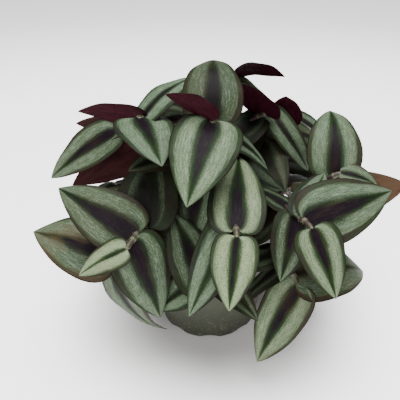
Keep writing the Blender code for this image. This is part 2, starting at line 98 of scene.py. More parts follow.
# Stems: soft round stalks, thicker at the sheath under each leaf.
STEM_BASE_RADIUS = 2.1 * MM
STEM_TIP_RADIUS = 1.4 * MM
SHEATH_SWELL = 0.7 * MM
STEM_SIDES = 5
STEM_RING_SPACING = 15 * MM
STEM_RISE = 0.45
STEM_CREST = 14 * MM
STEM_POINTS = 160
ACROSS_STEMS = (0.13, 0.9, 0.41)

# Blades: heart-shaped at the base, widest a third of the way out, and pointed.
BLADE_THICKNESS = 0.8 * MM
BLADE_CLEARANCE = 1.7 * MM
BLADE_ROWS = (0.0, 0.1, 0.34, 0.7, 1.0)
BLADE_COLUMNS = (-1.0, -0.5, 0.0, 0.5, 1.0)
FILL_COLUMNS = (-1.0, 0.0, 1.0)
BASE_ROUNDNESS = 0.38
TIP_SHARPNESS = 0.9
BASE_LOBE = 0.14
CUP = 0.22
FREE_FROM = 0.2

# Rule for the leaves that fill a stem below its shaped ones.
INTERNODE = 19 * MM
SIDE_ANGLE = 66
FILL_PITCH = 14
OUTWARD_DROP = 22
FILL_SEED = 11
SETTLE_STEPS = (0, 1, -1, 2, -2, 3, -3)
SHAPED_TURN = 7
FILL_TURN = 12
LOWEST_LEAF = 4 * MM

# A leaf: distance of its root back from the stem's tip in mm, then degrees for heading (0 is +X, -90 the
# front), pitch above level, roll (its face leans to its own left) and, after length and width in mm,
# how far it droops over its length and how steeply its halves fold up from the midrib.
Leaf = namedtuple(
    "Leaf", "back heading pitch roll length width droop fold columns", defaults=[BLADE_COLUMNS]
)

# A stem: its hole in the soil and its tip in mm, the heading and pitch in which it ends, its shaped leaves,
# and the number of leaves that the rule adds below them.
Stem = namedtuple("Stem", "name hole tip end leaves fill")

STEMS = (
    Stem("crown", (0, -10), (0, -50, 180), (-90, 15), (
        Leaf(0, 161, 31, -62, 31, 24, 15, 30),
        Leaf(3, -105, -18, 8, 58, 42, 30, 12),
        Leaf(7, 92, 74, 4, 57, 37, 95, 4),
        Leaf(32, -12, -12, 0, 46, 30, 45, 12),
    ), 2),
    Stem("upper_left", (-12, -6), (-47, -15, 168), (-150, 10), (
        Leaf(0, -70, 2, 0, 54, 38, 25, 14),
        Leaf(6, 150, 2, -65, 52, 21, 20, 10),
        Leaf(3, 32, 50, -5, 48, 27, 50, 10),
        Leaf(20, 35, 8, 0, 38, 28, 40, 15),
    ), 3),
    Stem("left", (-24, 2), (-66, 5, 151), (180, 0), (
        Leaf(0, -165, -25, 38, 60, 31, 30, 12),
        Leaf(7, 150, 2, -75, 40, 18, 30, 10),
        Leaf(30, 175, -22, -75, 66, 36, 25, 10),
    ), 3),
    Stem("front_left", (-22, -20), (-51, -79, 111), (-110, -10), (
        Leaf(0, -166, -16, 28, 35, 21, 35, 14),
        Leaf(8, -42, -62, -24, 58, 38, 25, 2),
        Leaf(13, 162, 27, 44, 59, 38, 20, 10),
        Leaf(23, 82, 52, 0, 52, 42, 20, 14),
        Leaf(32, -60, -72, 0, 42, 30, 20, 14),
    ), 1),
    Stem("front_centre", (2, -26), (13, -95, 130), (-90, -10), (
        Leaf(0, -102, -50, 0, 41, 29, 20, 20),
        Leaf(6, 86, 32, 0, 60, 35, 25, 12),
        Leaf(14, -125, -38, 22, 60, 30, 25, 20),
    ), 0),
    Stem("front_right", (20, -20), (59, -74, 122), (-70, -5), (
        Leaf(0, -58, -46, -10, 44, 33, 20, 16),
        Leaf(8, 11, 17, -42, 60, 41, 20, 8),
        Leaf(12, 58, 24, -15, 44, 26, 20, 20),
        Leaf(16, -111, -44, 20, 42, 30, 15, 20),
        Leaf(24, 140, 14, -10, 36, 24, 25, 15),
        Leaf(34, -165, -44, 14, 40, 28, 10, 14),
    ), 1),
    Stem("low_right", (27, -31), (56, -75, 78), (-60, -30), (
        Leaf(2, -149, -54, 20, 63, 35, 25, 18),
        Leaf(9, 13, 12, -25, 63, 43, 60, 10),
        Leaf(18, -172, -35, -10, 44, 28, 20, 15),
        Leaf(26, -150, 5, 0, 40, 26, 20, 15),
    ), 0),
    Stem("inner", (-8, -22), (-9, -32, 128), (-90, 20), (
        Leaf(1, -80, -58, 0, 44, 30, 15, 10),
    ), 3),
    Stem("low_centre", (-6, -34), (-4, -80, 82), (-95, -10), (
        Leaf(1, 125, 48, 10, 52, 36, 10, 16),
        Leaf(14, -40, -14, -10, 46, 28, 25, 20),
        Leaf(12, -172, -38, 30, 44, 30, 15, 15),
    ), 0),
    Stem("low_left", (-30, -16), (-67, -50, 80), (-130, -30), (
        Leaf(2, -76, -62, -61, 73, 40, 67, 15),
        Leaf(5, 173, 20, 36, 60, 46, 26, 12),
    ), 0),
    Stem("right", (33, -15), (88, -15, 129), (-20, 35), (
        Leaf(0, -20, 2, -30, 28, 19, 50, 20),
        Leaf(5, 86, 75, 0, 61, 38, 88, 6),
    ), 3),
    Stem("upper_right", (14, 0), (41, 10, 163), (20, 10), (
        Leaf(0, -50, -25, -45, 56, 20, 75, 25),
        Leaf(5, -125, 60, 0, 42, 30, 30, 10),
        Leaf(10, -140, -15, 0, 46, 30, 50, 12),
    ), 2),
    Stem("behind_right", (24, 8), (54, 20, 150), (0, 0), (
        Leaf(2, -98, 75, 0, 30, 26, 30, 10),
        Leaf(12, 0, 0, -15, 48, 32, 30, 12),
    ), 2),
    Stem("back", (4, 6), (17, 30, 185), (60, 20), (
        Leaf(0, 25, 10, 42, 38, 22, 50, 10),
        Leaf(8, -5, -15, -25, 40, 28, 40, 10),
    ), 2),
    Stem("rear_left", (-20, 16), (-66, 45, 145), (150, -10), (), 5),
    Stem("rear", (-4, 24), (-10, 80, 150), (95, 0), (), 5),
    Stem("rear_right", (22, 22), (62, 56, 145), (40, -5), (), 5),
    Stem("low_rear_left", (-18, 34), (-50, 82, 95), (120, -30), (), 5),
    Stem("low_rear", (6, 38), (16, 100, 92), (80, -30), (), 5),
    Stem("low_rear_right", (34, 24), (74, 72, 92), (45, -30), (), 5),
    Stem("far_right", (40, 2), (92, 22, 86), (10, -30), (
        Leaf(1, 0, 15, 110, 60, 38, 20, 8),
    ), 4),
    Stem("far_left", (-38, 6), (-88, 24, 92), (165, -30), (), 5),
    Stem("side_left", (-40, -8), (-84, -8, 74), (-170, -40), (), 3),
    Stem("side_right", (38, -9), (80, 14, 76), (5, -40), (), 3),
    Stem("deep_rear_left", (-30, 26), (-64, 54, 76), (140, -45), (), 3),
    Stem("deep_rear", (-6, 40), (-16, 88, 70), (100, -50), (), 3),
    Stem("deep_rear_right", (22, 34), (46, 80, 72), (60, -50), (), 3),
)


# Fine blade: rows along it, columns across it, and half its thickness at the midrib.
FINE_ROWS = 22
FINE_COLUMNS = 15
FINE_HALF_DEPTH = 0.26 * MM
CREASE_WIDTH = 0.07
SHEATH_LENGTH = 8 * MM
SHEATH_MARKS = (0.6, 1.3, 8.0, 9.0, 10.0)
LINE_SPACING = 2.2 * MM
TIP_TAPER = 2.5 * MM
POT_FINE_SIDES = 252
DRAIN_SIDES = 32
CRUMB_ROUGHNESS = 1.2 * MM
POT_SMOOTH_BELOW = math.radians(42)

# Leaves of the rule are dullest from this many mm back from their stem's tip: partly the dullness of old
# leaves, partly painted shade for the shaded inside of the plant.
OLD_AND_SHADED_FROM = 35

# Stage: the floor carries a painted shadow round a spot by the pot's foot and a painted glow further out, and
# the camera looks at the plant's middle.
FLOOR_RADIUS = 5.0
PAINTED_SHADOW_MIDDLE = (0.01, 0.003, 0.0)
PAINTED_SHADOW_EDGES = (0.05, 0.14)
SKY_STRENGTH = 0.2
SKY_COLOUR = (0.95, 0.97, 1.0, 1)
LENS = 49.5
SENSOR = 36
AIM = (-7.3 * MM, 0, 99 * MM)

# Lights: name, place, the spot they face, width, power in watts, and tint.
LIGHTS = (
    ("overhead", (0.0, -0.05, 1.3), (0, 0, 0), 1.1, 30, (1.0, 1.0, 1.0)),
    ("front", (-0.45, -1.2, 0.8), (0, 0, 0.08), 0.8, 11, (1.0, 0.99, 0.97)),
)

# How a leaf that shows in front is coloured: youth, from 0 (old and dull) to 1 (young and bright); half-width
# of the middle stripe and start of the dark margin, as shares of the half width; and brown, from 0 to 1.
Look = namedtuple("Look", "youth stripe margin brown")
LOOKS = {
    ("crown", 0): Look(0.6, 0.26, 0.84, 0.0),
    ("crown", 3): Look(0.68, 0.27, 0.88, 0.0),
    ("crown", 7): Look(0.12, 0.26, 0.88, 0.2),
    ("crown", 32): Look(0.3, 0.3, 0.8, 0.0),
    ("upper_left", 0): Look(0.55, 0.24, 0.88, 0.0),
    ("upper_left", 6): Look(0.4, 0.26, 0.84, 0.0),
    ("upper_left", 3): Look(0.5, 0.2, 0.86, 0.0),
    ("left", 0): Look(0.3, 0.26, 0.88, 0.2),
    ("left", 30): Look(0.1, 0.3, 0.7, 0.1),
    ("front_left", 0): Look(0.95, 0.12, 0.9, 0.1),
    ("front_left", 8): Look(0.3, 0.28, 0.82, 0.1),
    ("front_left", 13): Look(0.2, 0.34, 0.9, 0.2),
    ("front_left", 23): Look(0.05, 0.4, 0.66, 0.1),
    ("front_centre", 0): Look(1.0, 0.22, 0.88, 0.0),
    ("front_centre", 6): Look(0.85, 0.3, 0.87, 0.0),
    ("front_centre", 14): Look(0.55, 0.22, 0.8, 0.0),
    ("front_right", 0): Look(0.75, 0.28, 0.82, 0.1),
    ("front_right", 8): Look(0.4, 0.32, 0.84, 0.2),
    ("front_right", 12): Look(0.5, 0.14, 0.8, 0.0),
    ("front_right", 16): Look(0.2, 0.34, 0.74, 0.1),
    ("low_right", 2): Look(0.72, 0.27, 0.9, 0.3),
    ("low_right", 9): Look(0.3, 0.14, 0.9, 0.5),
    ("low_left", 5): Look(0.25, 0.26, 0.9, 0.8),
    ("low_left", 2): Look(0.2, 0.2, 0.84, 0.2),
    ("low_centre", 1): Look(0.2, 0.3, 0.76, 0.1),
    ("low_centre", 12): Look(0.6, 0.22, 0.82, 0.0),
    ("inner", 1): Look(0.3, 0.3, 0.8, 0.1),
    ("right", 0): Look(0.5, 0.2, 0.88, 0.4),
    ("right", 5): Look(0.58, 0.27, 0.88, 0.2),
    ("upper_right", 0): Look(0.3, 0.2, 0.84, 0.1),
    ("upper_right", 5): Look(0.3, 0.3, 0.8, 0.0),
    ("behind_right", 2): Look(0.3, 0.3, 0.8, 0.0),
    ("back", 0): Look(0.2, 0.3, 0.8, 0.0),
    ("far_right", 1): Look(0.1, 0.3, 0.8, 0.8),
}


def unit(vector):
    return vector / np.linalg.norm(vector)


def direction(heading, pitch):
    """Unit vector for a heading and a pitch in degrees."""
    turn, rise = math.radians(heading), math.radians(pitch)
    return np.array([math.cos(turn) * math.cos(rise), math.sin(turn) * math.cos(rise), math.sin(rise)])


def blade_axes(leaf):
    """The blade's own forward, left and face directions at its root."""
    forward = direction(leaf.heading, leaf.pitch)
    level = direction(leaf.heading + 90, 0)
    upright = np.cross(forward, level)
    roll = math.radians(leaf.roll)
    left = level * math.cos(roll) - upright * math.sin(roll)
    return forward, left, np.cross(forward, left)


def outline(along):
    """Half-width of the blade as a share of its widest, from 0 at the root to 0 at the tip."""
    widest = BASE_ROUNDNESS / (BASE_ROUNDNESS + TIP_SHARPNESS)
    toward_base = (along / widest) ** BASE_ROUNDNESS
    toward_tip = ((1 - along) / (1 - widest)) ** TIP_SHARPNESS
    return toward_base * toward_tip


def blade_surface(leaf, root, along, across):
    """Middle surface of a blade and its normals, each as an array of rows by columns by 3."""
    forward, left, face = blade_axes(leaf)
    length, half_width = leaf.length * MM, leaf.width * MM / 2
    fold = math.radians(leaf.fold)
    s = np.array(along, float)[:, None, None]
    t = np.array(across, float)[None, :, None]
    droop = max(math.radians(leaf.droop), 0.001)
    bend = droop * s
    ahead = np.cos(bend) * forward - np.sin(bend) * face
    above = np.cos(bend) * face + np.sin(bend) * forward
    midrib = root + length / droop * (np.sin(bend) * forward - (1 - np.cos(bend)) * face)
    half = half_width * outline(s)
    lobe = BASE_LOBE * length * np.abs(t) ** 1.5 * (1 - s) ** 3 * outline(s)
    lift = half * (np.abs(t) * math.sin(fold) - CUP * t**2)
    points = midrib - ahead * lobe + left * half * t * math.cos(fold) + above * lift
    slope = np.sign(t) * math.tan(fold) - 2 * CUP * t
    normals = above - left * slope
    return points, normals / np.linalg.norm(normals, axis=2, keepdims=True)


def blade_solid(leaf, root):
    """Vertices and triangles of a closed blade, whose ends are single points on each face."""
    points, normals = blade_surface(leaf, root, BLADE_ROWS, leaf.columns)
    half = normals * BLADE_THICKNESS / 2
    columns = len(leaf.columns)
    inner = range(1, len(BLADE_ROWS) - 1)
    middle = columns // 2
    vertices, index = [], {}
    for side, sheet in enumerate((points + half, points - half)):
        index[side, "root"] = len(vertices)
        vertices.append(sheet[0, middle])
        for row in inner:
            for column in range(columns):
                index[side, row, column] = len(vertices)
                vertices.append(sheet[row, column])
        index[side, "tip"] = len(vertices)
        vertices.append(sheet[-1, middle])
    triangles = []
    for side in (0, 1):
        cell = [(index[side, "root"], index[side, 1, c], index[side, 1, c + 1]) for c in range(columns - 1)]
        for row in inner[:-1]:
            for c in range(columns - 1):
                a, b = index[side, row, c], index[side, row, c + 1]
                d, e = index[side, row + 1, c], index[side, row + 1, c + 1]
                cell += [(a, d, e), (a, e, b)] if c < middle else [(a, d, b), (b, d, e)]
        last = inner[-1]
        tip = index[side, "tip"]
        cell += [(index[side, last, c], tip, index[side, last, c + 1]) for c in range(columns - 1)]
        triangles += [tri if side == 0 else tri[::-1] for tri in cell]
    for column in (0, columns - 1):
        keys = ["root"] + [(row, column) for row in inner] + ["tip"]
        for first, second in itertools.pairwise(keys):
            a, b = (index[(0, *k) if isinstance(k, tuple) else (0, k)] for k in (first, second))
            c, d = (index[(1, *k) if isinstance(k, tuple) else (1, k)] for k in (first, second))
            wall = [(a, c, d), (a, d, b)]
            triangles += wall if column == 0 else [tri[::-1] for tri in wall]
    return np.array(vertices), triangles


def blade_probe(leaf, root, start=0.0):
    """Search tree of a blade thickened by its clearance, from a share of its length to the tip."""
    rows = [s for s in BLADE_ROWS if s > start]
    rows = [start, *rows] if start else [0.01, *rows[:-1], 0.99]
    points, normals = blade_surface(leaf, root, rows, leaf.columns)
    vertices, triangles = [], []
    columns = len(leaf.columns)
    for sheet in (points + normals * BLADE_CLEARANCE / 2, points - normals * BLADE_CLEARANCE / 2):
        base = len(vertices)
        vertices += [tuple(p) for p in sheet.reshape(-1, 3)]
        for row, column in itertools.product(range(len(rows) - 1), range(columns - 1)):
            a = base + row * columns + column
            triangles += [(a, a + columns, a + columns + 1), (a, a + columns + 1, a + 1)]
    offset = len(rows) * columns
    rim = [row * columns for row in range(len(rows))]
    rim += [offset - columns + column for column in range(1, columns)]
    rim += [row * columns + columns - 1 for row in range(len(rows) - 2, -1, -1)]
    rim += [column for column in range(columns - 2, -1, -1)]
    for a, b in itertools.pairwise(rim):
        triangles += [(a, a + offset, b + offset), (a, b + offset, b)]
    return BVHTree.FromPolygons(vertices, triangles)


def stem_curve(stem):
    """Points along a stem: up out of its hole, then over to its tip in the direction in which it ends."""
    start = np.array([stem.hole[0] * MM, stem.hole[1] * MM, SOIL_TOP - HOLE_DEPTH + GAP])
    mouth = start + np.array([0, 0, HOLE_DEPTH + 2 * MM])
    tip = np.array(stem.tip) * MM
    reach = np.linalg.norm(tip - mouth) * STEM_RISE
    climb = reach + max(POT_HEIGHT + STEM_CREST - tip[2], 0)
    handles = (mouth, mouth + np.array([0, 0, climb]), tip - direction(*stem.end) * reach, tip)
    s = np.linspace(0, 1, STEM_POINTS)[:, None]
    arch = sum(math.comb(3, i) * (1 - s) ** (3 - i) * s**i * handle for i, handle in enumerate(handles))
    return np.vstack([start, arch])


def along_curve(curve, back):
    """Point and direction on a curve at a distance back from its end."""
    steps = np.linalg.norm(np.diff(curve, axis=0), axis=1)
    travelled = np.concatenate([[0], np.cumsum(steps)])
    place = max(travelled[-1] - back, 0)
    point = np.array([np.interp(place, travelled, curve[:, axis]) for axis in range(3)])
    step = min(np.searchsorted(travelled, place, side="right"), len(steps)) - 1
    return point, unit(curve[step + 1] - curve[step]), travelled[-1]


def stem_tube(curve):
    """Vertices and triangles of a stem's tube, thickened all along by as much as a sheath swells."""
    total = along_curve(curve, 0)[2]
    marks = np.linspace(0, total, max(3, round(total / STEM_RING_SPACING)) + 1)
    vertices, triangles = [], []
    for mark in reversed([round(m, 6) for m in marks]):
        centre, heading, _ = along_curve(curve, mark)
        side = unit(np.cross(heading, ACROSS_STEMS))
        other = np.cross(heading, side)
        share = mark / total
        radius = STEM_TIP_RADIUS + (STEM_BASE_RADIUS - STEM_TIP_RADIUS) * share + SHEATH_SWELL
        for k in range(STEM_SIDES):
            turn = 2 * math.pi * k / STEM_SIDES
            vertices.append(centre + radius * (math.cos(turn) * side + math.sin(turn) * other))
    last = (len(marks) - 1) * STEM_SIDES
    for ring, k in itertools.product(range(len(marks) - 1), range(STEM_SIDES)):
        a, b = ring * STEM_SIDES + k, ring * STEM_SIDES + (k + 1) % STEM_SIDES
        triangles += [(a, b, b + STEM_SIDES), (a, b + STEM_SIDES, a + STEM_SIDES)]
    for k in range(1, STEM_SIDES - 1):
        triangles += [(0, k + 1, k), (last, last + k, last + k + 1)]
    return np.array(vertices), triangles


def tree_of(solid):
    vertices, triangles = solid
    return BVHTree.FromPolygons([tuple(v) for v in vertices], triangles)


def settle_offsets():
    """Small turns of heading, pitch and roll, the smallest first."""
    turns = itertools.product(SETTLE_STEPS, repeat=3)
    return sorted(turns, key=lambda turn: sum(t * t for t in turn))


def fill_leaves(stem, curve, draw):
    """Leaves on the nodes below the shaped ones, in two ranks, the older ones lower."""
    back = max([leaf.back for leaf in stem.leaves], default=2 - INTERNODE / MM)
    made = []
    for rank in range(stem.fill):
        back += draw.uniform(0.85, 1.15) * INTERNODE / MM if back > 0 else INTERNODE / MM
        root, heading, total = along_curve(curve, back * MM)
        turn = math.degrees(math.atan2(heading[1], heading[0]))
        side = SIDE_ANGLE if rank % 2 else -SIDE_ANGLE
        outward = math.hypot(root[0], root[1]) / POT_TOP_RADIUS
        pitch = FILL_PITCH - OUTWARD_DROP * outward + draw.uniform(-18, 18)
        size = draw.uniform(50, 62)
        made.append(Leaf(
            back, turn + side + draw.uniform(-18, 18), pitch, draw.uniform(-15, 15),
            size, size * draw.uniform(0.62, 0.72), draw.uniform(20, 45), draw.uniform(6, 20), FILL_COLUMNS,
        ))
        if back * MM > total - HOLE_DEPTH - 25 * MM:
            break
    return made


def free_part(leaf, root, name, trees, own):
    """Search tree of the blade beyond its root if the blade is clear of everything, and otherwise None."""
    points, _ = blade_surface(leaf, root, BLADE_ROWS, leaf.columns)
    if points[..., 2].min() < LOWEST_LEAF:
        return None
    probe = blade_probe(leaf, root)
    if any(other != name and probe.overlap(tree) for other, tree in trees):
        return None
    free = blade_probe(leaf, root, FREE_FROM)
    if any(free.overlap(tree) for tree in own):
        return None
    if any(other == name and free.overlap(tree) for other, tree in trees[:len(STEMS)]):
        return None
    return free


def grow():
    """Settles every leaf clear of the others, and gives {stem name: (curve, [(leaf, root), ...])}."""
    draw = random.Random(FILL_SEED)
    curves = {stem.name: stem_curve(stem) for stem in STEMS}
    trees = [(stem.name, tree_of(stem_tube(curves[stem.name]))) for stem in STEMS]
    trees.append(("pot", tree_of(pot_envelope())))
    own = {stem.name: [] for stem in STEMS}
    grown = {stem.name: (curves[stem.name], []) for stem in STEMS}
    offsets = settle_offsets()
    planned = [(stem, leaf) for stem in STEMS for leaf in stem.leaves]
    planned += [(stem, leaf) for stem in STEMS for leaf in fill_leaves(stem, curves[stem.name], draw)]
    for stem, leaf in planned:
        root = along_curve(curves[stem.name], leaf.back * MM)[0]
        unit_turn = SHAPED_TURN if leaf in stem.leaves else FILL_TURN
        for turn in offsets:
            heading, pitch, roll = (unit_turn * step for step in turn)
            tried = leaf._replace(
                heading=leaf.heading + heading, pitch=leaf.pitch + pitch, roll=leaf.roll + roll
            )
            free = free_part(tried, root, stem.name, trees, own[stem.name])
            if free:
                trees.append((stem.name, tree_of(blade_solid(tried, root))))
                own[stem.name].append(free)
                grown[stem.name][1].append((tried, root))
                break
    return grown


def pot_radius(height):
    """Outer radius of the pot's wall at a height."""
    return POT_BASE_RADIUS + (POT_TOP_RADIUS - RIM_STEP - POT_BASE_RADIUS) * height / POT_HEIGHT


def turned(profile, sides):
    """Vertices and faces of a half-section turned about Z, which runs anticlockwise from axis to axis."""
    vertices, faces, rings = [], [], []
    for radius, height in profile:
        count = sides if radius else 1
        rings.append([len(vertices) + k % count for k in range(sides)])
        for k in range(count):
            turn = 2 * math.pi * k / sides
            vertices.append((radius * math.cos(turn), radius * math.sin(turn), height))
    for lower, upper in itertools.pairwise(rings):
        for k in range(sides):
            after = (k + 1) % sides
            corners = tuple(dict.fromkeys((lower[k], lower[after], upper[after], upper[k])))
            if len(corners) > 2:
                faces.append(corners)
    return np.array(vertices), faces


def pot_envelope():
    """The outside of the potted soil with the clearance that leaves keep from it, as triangles."""
    room = 1 * MM
    profile = [
        (0, -room),
        (POT_BASE_RADIUS + room, -room),
        (POT_TOP_RADIUS + room, RIM_Z),
        (POT_TOP_RADIUS + room, POT_HEIGHT + room),
        (POT_TOP_RADIUS - 4 * MM, POT_HEIGHT + room),
        (POT_TOP_RADIUS - 6 * MM, SOIL_TOP + room),
        (0, SOIL_TOP + room),
    ]
    vertices, faces = turned(profile, POT_SIDES)
    return vertices, [(f[0], f[i], f[i + 1]) for f in faces for i in range(1, len(f) - 1)]


class Wire:
    """A socket in a node tree. Sums on wires add the Math or Vector Math nodes that work them out."""

    def __init__(self, plan, socket):
        self.plan = plan
        self.socket = socket
        self.is_vector = socket.type == "VECTOR"

    def combine(self, operation, first, second):
        vectors = [getattr(value, "is_vector", isinstance(value, Vector)) for value in (first, second)]
        if not any(vectors):
            return self.plan.add("ShaderNodeMath", {"operation": operation}, {0: first, 1: second})
        if operation == "MULTIPLY" and not all(vectors):
            arrow, size = (first, second) if vectors[0] else (second, first)
            return self.plan.add("ShaderNodeVectorMath", {"operation": "SCALE"}, {0: arrow, "Scale": size})
        return self.plan.add("ShaderNodeVectorMath", {"operation": operation}, {0: first, 1: second})

    def __add__(self, other):
        return self.combine("ADD", self, other)

    def __radd__(self, other):
        return self.combine("ADD", other, self)

    def __sub__(self, other):
        return self.combine("SUBTRACT", self, other)

    def __rsub__(self, other):
        return self.combine("SUBTRACT", other, self)

    def __mul__(self, other):
        return self.combine("MULTIPLY", self, other)

    def __rmul__(self, other):
        return self.combine("MULTIPLY", other, self)

    def __truediv__(self, other):
        return self.combine("DIVIDE", self, other)


class Plan:
    """A node tree being written."""

    def __init__(self, tree):
        self.tree = tree

    def feed(self, socket, value):
        if isinstance(value, Wire):
            self.tree.links.new(value.socket, socket)
        else:
            socket.default_value = value

    def node(self, kind, settings=None, inputs=None):
        made = self.tree.nodes.new(kind)
        for name, value in (settings or {}).items():
            setattr(made, name, value)
        for key, value in (inputs or {}).items():
            self.feed(made.inputs[key], value)
        return made

    def add(self, kind, settings=None, inputs=None, output=None):
        """Adds a node and returns the wire of its first output in use, or of the first with a given name."""
        made = self.node(kind, settings, inputs)
        in_use = (socket for socket in made.outputs if socket.enabled)
        return Wire(self, next(socket for socket in in_use if output in (None, socket.name)))

    def math(self, operation, *values):
        return self.add("ShaderNodeMath", {"operation": operation}, dict(enumerate(values)))

    def smooth(self, value, low, high):
        """A smooth step from 0 at low to 1 at high, where low may be the higher of the two."""
        step = {"interpolation_type": "SMOOTHSTEP"}
        if low < high:
            return self.add("ShaderNodeMapRange", step, {"Value": value, "From Min": low, "From Max": high})
        ends = {"Value": value, "From Min": high, "From Max": low, "To Min": 1.0, "To Max": 0.0}
        return self.add("ShaderNodeMapRange", step, ends)

    def vector(self, x, y, z):
        return self.add("ShaderNodeCombineXYZ", None, {"X": x, "Y": y, "Z": z})

    def noise(self, place, scale, detail=2.0, roughness=0.5):
        inputs = {"Vector": place, "Scale": scale, "Detail": detail, "Roughness": roughness}
        return self.add("ShaderNodeTexNoise", None, inputs)

    def mix(self, share, first, second):
        made = self.node("ShaderNodeMix", {"data_type": "RGBA", "blend_type": "MIX", "clamp_factor": True})
        sockets = [socket for socket in made.inputs if socket.enabled]
        for socket, value in zip(sockets, (share, first, second)):
            self.feed(socket, value)
        return Wire(self, next(socket for socket in made.outputs if socket.enabled))

    def over(self, under, tint, value, low, high, share=1.0):
        """A colour with a share of a tint laid over it, none where a value is at low and all at high."""
        return self.mix(self.smooth(value, low, high) * share, under, tint)


def colour(red, green, blue):
    """A linear colour from the red, green and blue of a colour picker, each from 0 to 255."""
    values = [value / 255 for value in (red, green, blue)]
    linear = [value / 12.92 if value <= 0.04045 else ((value + 0.055) / 1.055) ** 2.4 for value in values]
    return (*linear, 1.0)


def shaded(tint, share):
    """A colour's red, green and blue times a share."""
    return (*(value * share for value in tint[:3]), 1.0)


def new_material(name):
    """A material, its plan, its Principled BSDF node and the wire of the piece's own coordinates."""
    made = bpy.data.materials.new(name)
    made.use_nodes = True
    plan = Plan(made.node_tree)
    place = plan.add("ShaderNodeTexCoord", None, None, "Object")
    return made, plan, made.node_tree.nodes["Principled BSDF"], place


def finish_surface(plan, shader, tint, roughness, bump=None):
    """Feeds a surface its colour, its roughness and its bump, which is a strength, a depth and a height."""
    plan.feed(shader.inputs["Base Color"], tint)
    plan.feed(shader.inputs["Roughness"], roughness)
    if bump is not None:
        inputs = dict(zip(("Strength", "Distance", "Height"), bump))
        plan.feed(shader.inputs["Normal"], plan.add("ShaderNodeBump", None, inputs))


def attribute(plan, name):
    return plan.add("ShaderNodeAttribute", {"attribute_name": name}, None, "Fac")


def upper_face(plan, colours, facts):
    """Colour of a blade's upper face: a middle stripe, a silver band on each side of it and a dark margin."""
    along, across, away = facts["along"], facts["across"], facts["away"]
    youth, number, fibres, grain = facts["youth"], facts["number"], facts["fibres"], facts["grain"]
    drift = plan.noise(plan.vector(along * 2.4, across * 2.2, number * 7.3), 1.0, 2.0)
    flames = plan.noise(plan.vector(along * 3.4, across * 26.0, number * 5.1), 1.0, 3.0, 0.65)
    band = away + (drift - 0.5) * 0.22 + (flames - 0.5) * 0.3 + (grain - 0.5) * 0.12
    beyond = band - facts["stripe"] * (1.3 - along)

    silver = plan.over(colours.old_silver, colours.silver, youth, 0.0, 0.5)
    silver = plan.over(silver, colours.young_silver, youth, 0.5, 1.0)
    silver = plan.over(silver, colours.band_shade, away, 0.5, 0.9, 0.55)
    silver = plan.over(silver, colours.band_shade, fibres, 0.5, 0.6, 0.35 + (1.0 - youth) * 0.45)
    silver = plan.over(silver, colours.band_shade, grain, 0.52, 0.38, 0.5)
    silver = plan.over(silver, colours.glitter, fibres, 0.45, 0.34, 0.4)
    silver = plan.over(silver, colours.glitter, grain, 0.54, 0.7, 0.5)

    green = plan.mix(youth, colours.stripe_green, colours.young_green)
    bloom = along + youth * 0.2 + away * 0.4 + (drift - 0.5) * 0.9
    dark = plan.over(green, colours.stripe_purple, bloom, 0.9, 0.5)
    dark = plan.over(dark, colours.halo, beyond, -0.17, -0.03, 0.15 + youth * 0.7)
    dark = plan.over(dark, colours.band_shade, fibres, 0.55, 0.7, 0.2)

    margin = plan.mix(youth, colours.margin, colours.young_green)
    margin = plan.over(margin, colours.stripe_purple, drift, 0.45, 0.6, 0.8)
    margin = plan.over(margin, colours.band_shade, fibres, 0.5, 0.7, 0.3)
    outside = band - facts["margin"] - plan.smooth(along, 0.6, 1.0) * 0.08

    face = plan.over(silver, green, beyond, 0.2, 0.0, plan.smooth(flames, 0.25, 0.6) * 0.8)
    face = plan.over(face, dark, beyond, 0.06, -0.05)
    face = plan.over(face, margin, outside, -0.13, 0.0, 0.9)
    # Old leaves are darkened towards the stripe green: partly their own dulling with age, partly painted
    # shade for leaves deep in the plant.
    face = plan.over(face, colours.stripe_green, youth, 0.25, 0.0, 0.55)
    face = plan.over(face, colours.worn, drift + away * 0.15, 0.42, 0.72, facts["brown"] * 0.5)
    return plan.over(face, colours.edge, away, 0.95, 0.985)


def lower_face(plan, colours, facts):
    """Colour of a blade's lower face: deep maroon, with darker ribs and a paler bloom."""
    along, across, number = facts["along"], facts["across"], facts["number"]
    patches = plan.noise(plan.vector(along * 5.0, across * 4.0, number * 3.7), 1.0, 4.0, 0.6)
    back = plan.over(colours.underside, colours.underside_light, patches, 0.3, 0.75)
    back = plan.over(back, colours.underside, facts["veins"], 0.35, 0.0, 0.5)
    back = plan.over(back, colours.young_underside, facts["youth"], 0.75, 1.0, 0.4)
    return plan.over(back, colours.worn, patches, 0.1, 0.5, facts["brown"] * 0.9)


def leaf_material(colours):
    """Striped upper face, plain underside and a thin red edge, from each blade's own attributes."""
    made, plan, shader, place = new_material("striped leaf")
    names = ("along", "across", "side", "number", "youth", "stripe", "margin", "brown")
    facts = {name: attribute(plan, name) for name in names}
    facts["away"] = plan.math("ABSOLUTE", facts["across"])
    facts["veins"] = plan.math("ABSOLUTE", plan.math("SINE", facts["across"] * 25.0))
    side = facts["side"]
    upper = plan.smooth(side, -0.3, 0.3)
    facts["grain"] = plan.noise(place, 1500.0, 2.0, 0.7)
    lengthwise = plan.vector(facts["along"] * 11.0, facts["across"] * 34.0, facts["number"] * 3.3)
    facts["fibres"] = plan.noise(lengthwise, 1.0, 2.0, 0.6)
    shown = plan.mix(upper, lower_face(plan, colours, facts), upper_face(plan, colours, facts))
    shown = plan.over(shown, colours.edge, plan.math("ABSOLUTE", side), 0.9, 0.5)
    roughness = 0.54 - upper * 0.16 + (facts["grain"] - 0.5) * 0.2
    height = facts["veins"] * 0.3 + facts["fibres"] * 0.6 + facts["grain"] * 0.2
    finish_surface(plan, shader, shown, roughness, (0.35, 0.4 * MM, height))
    shader.inputs["Specular IOR Level"].default_value = 0.04
    return made


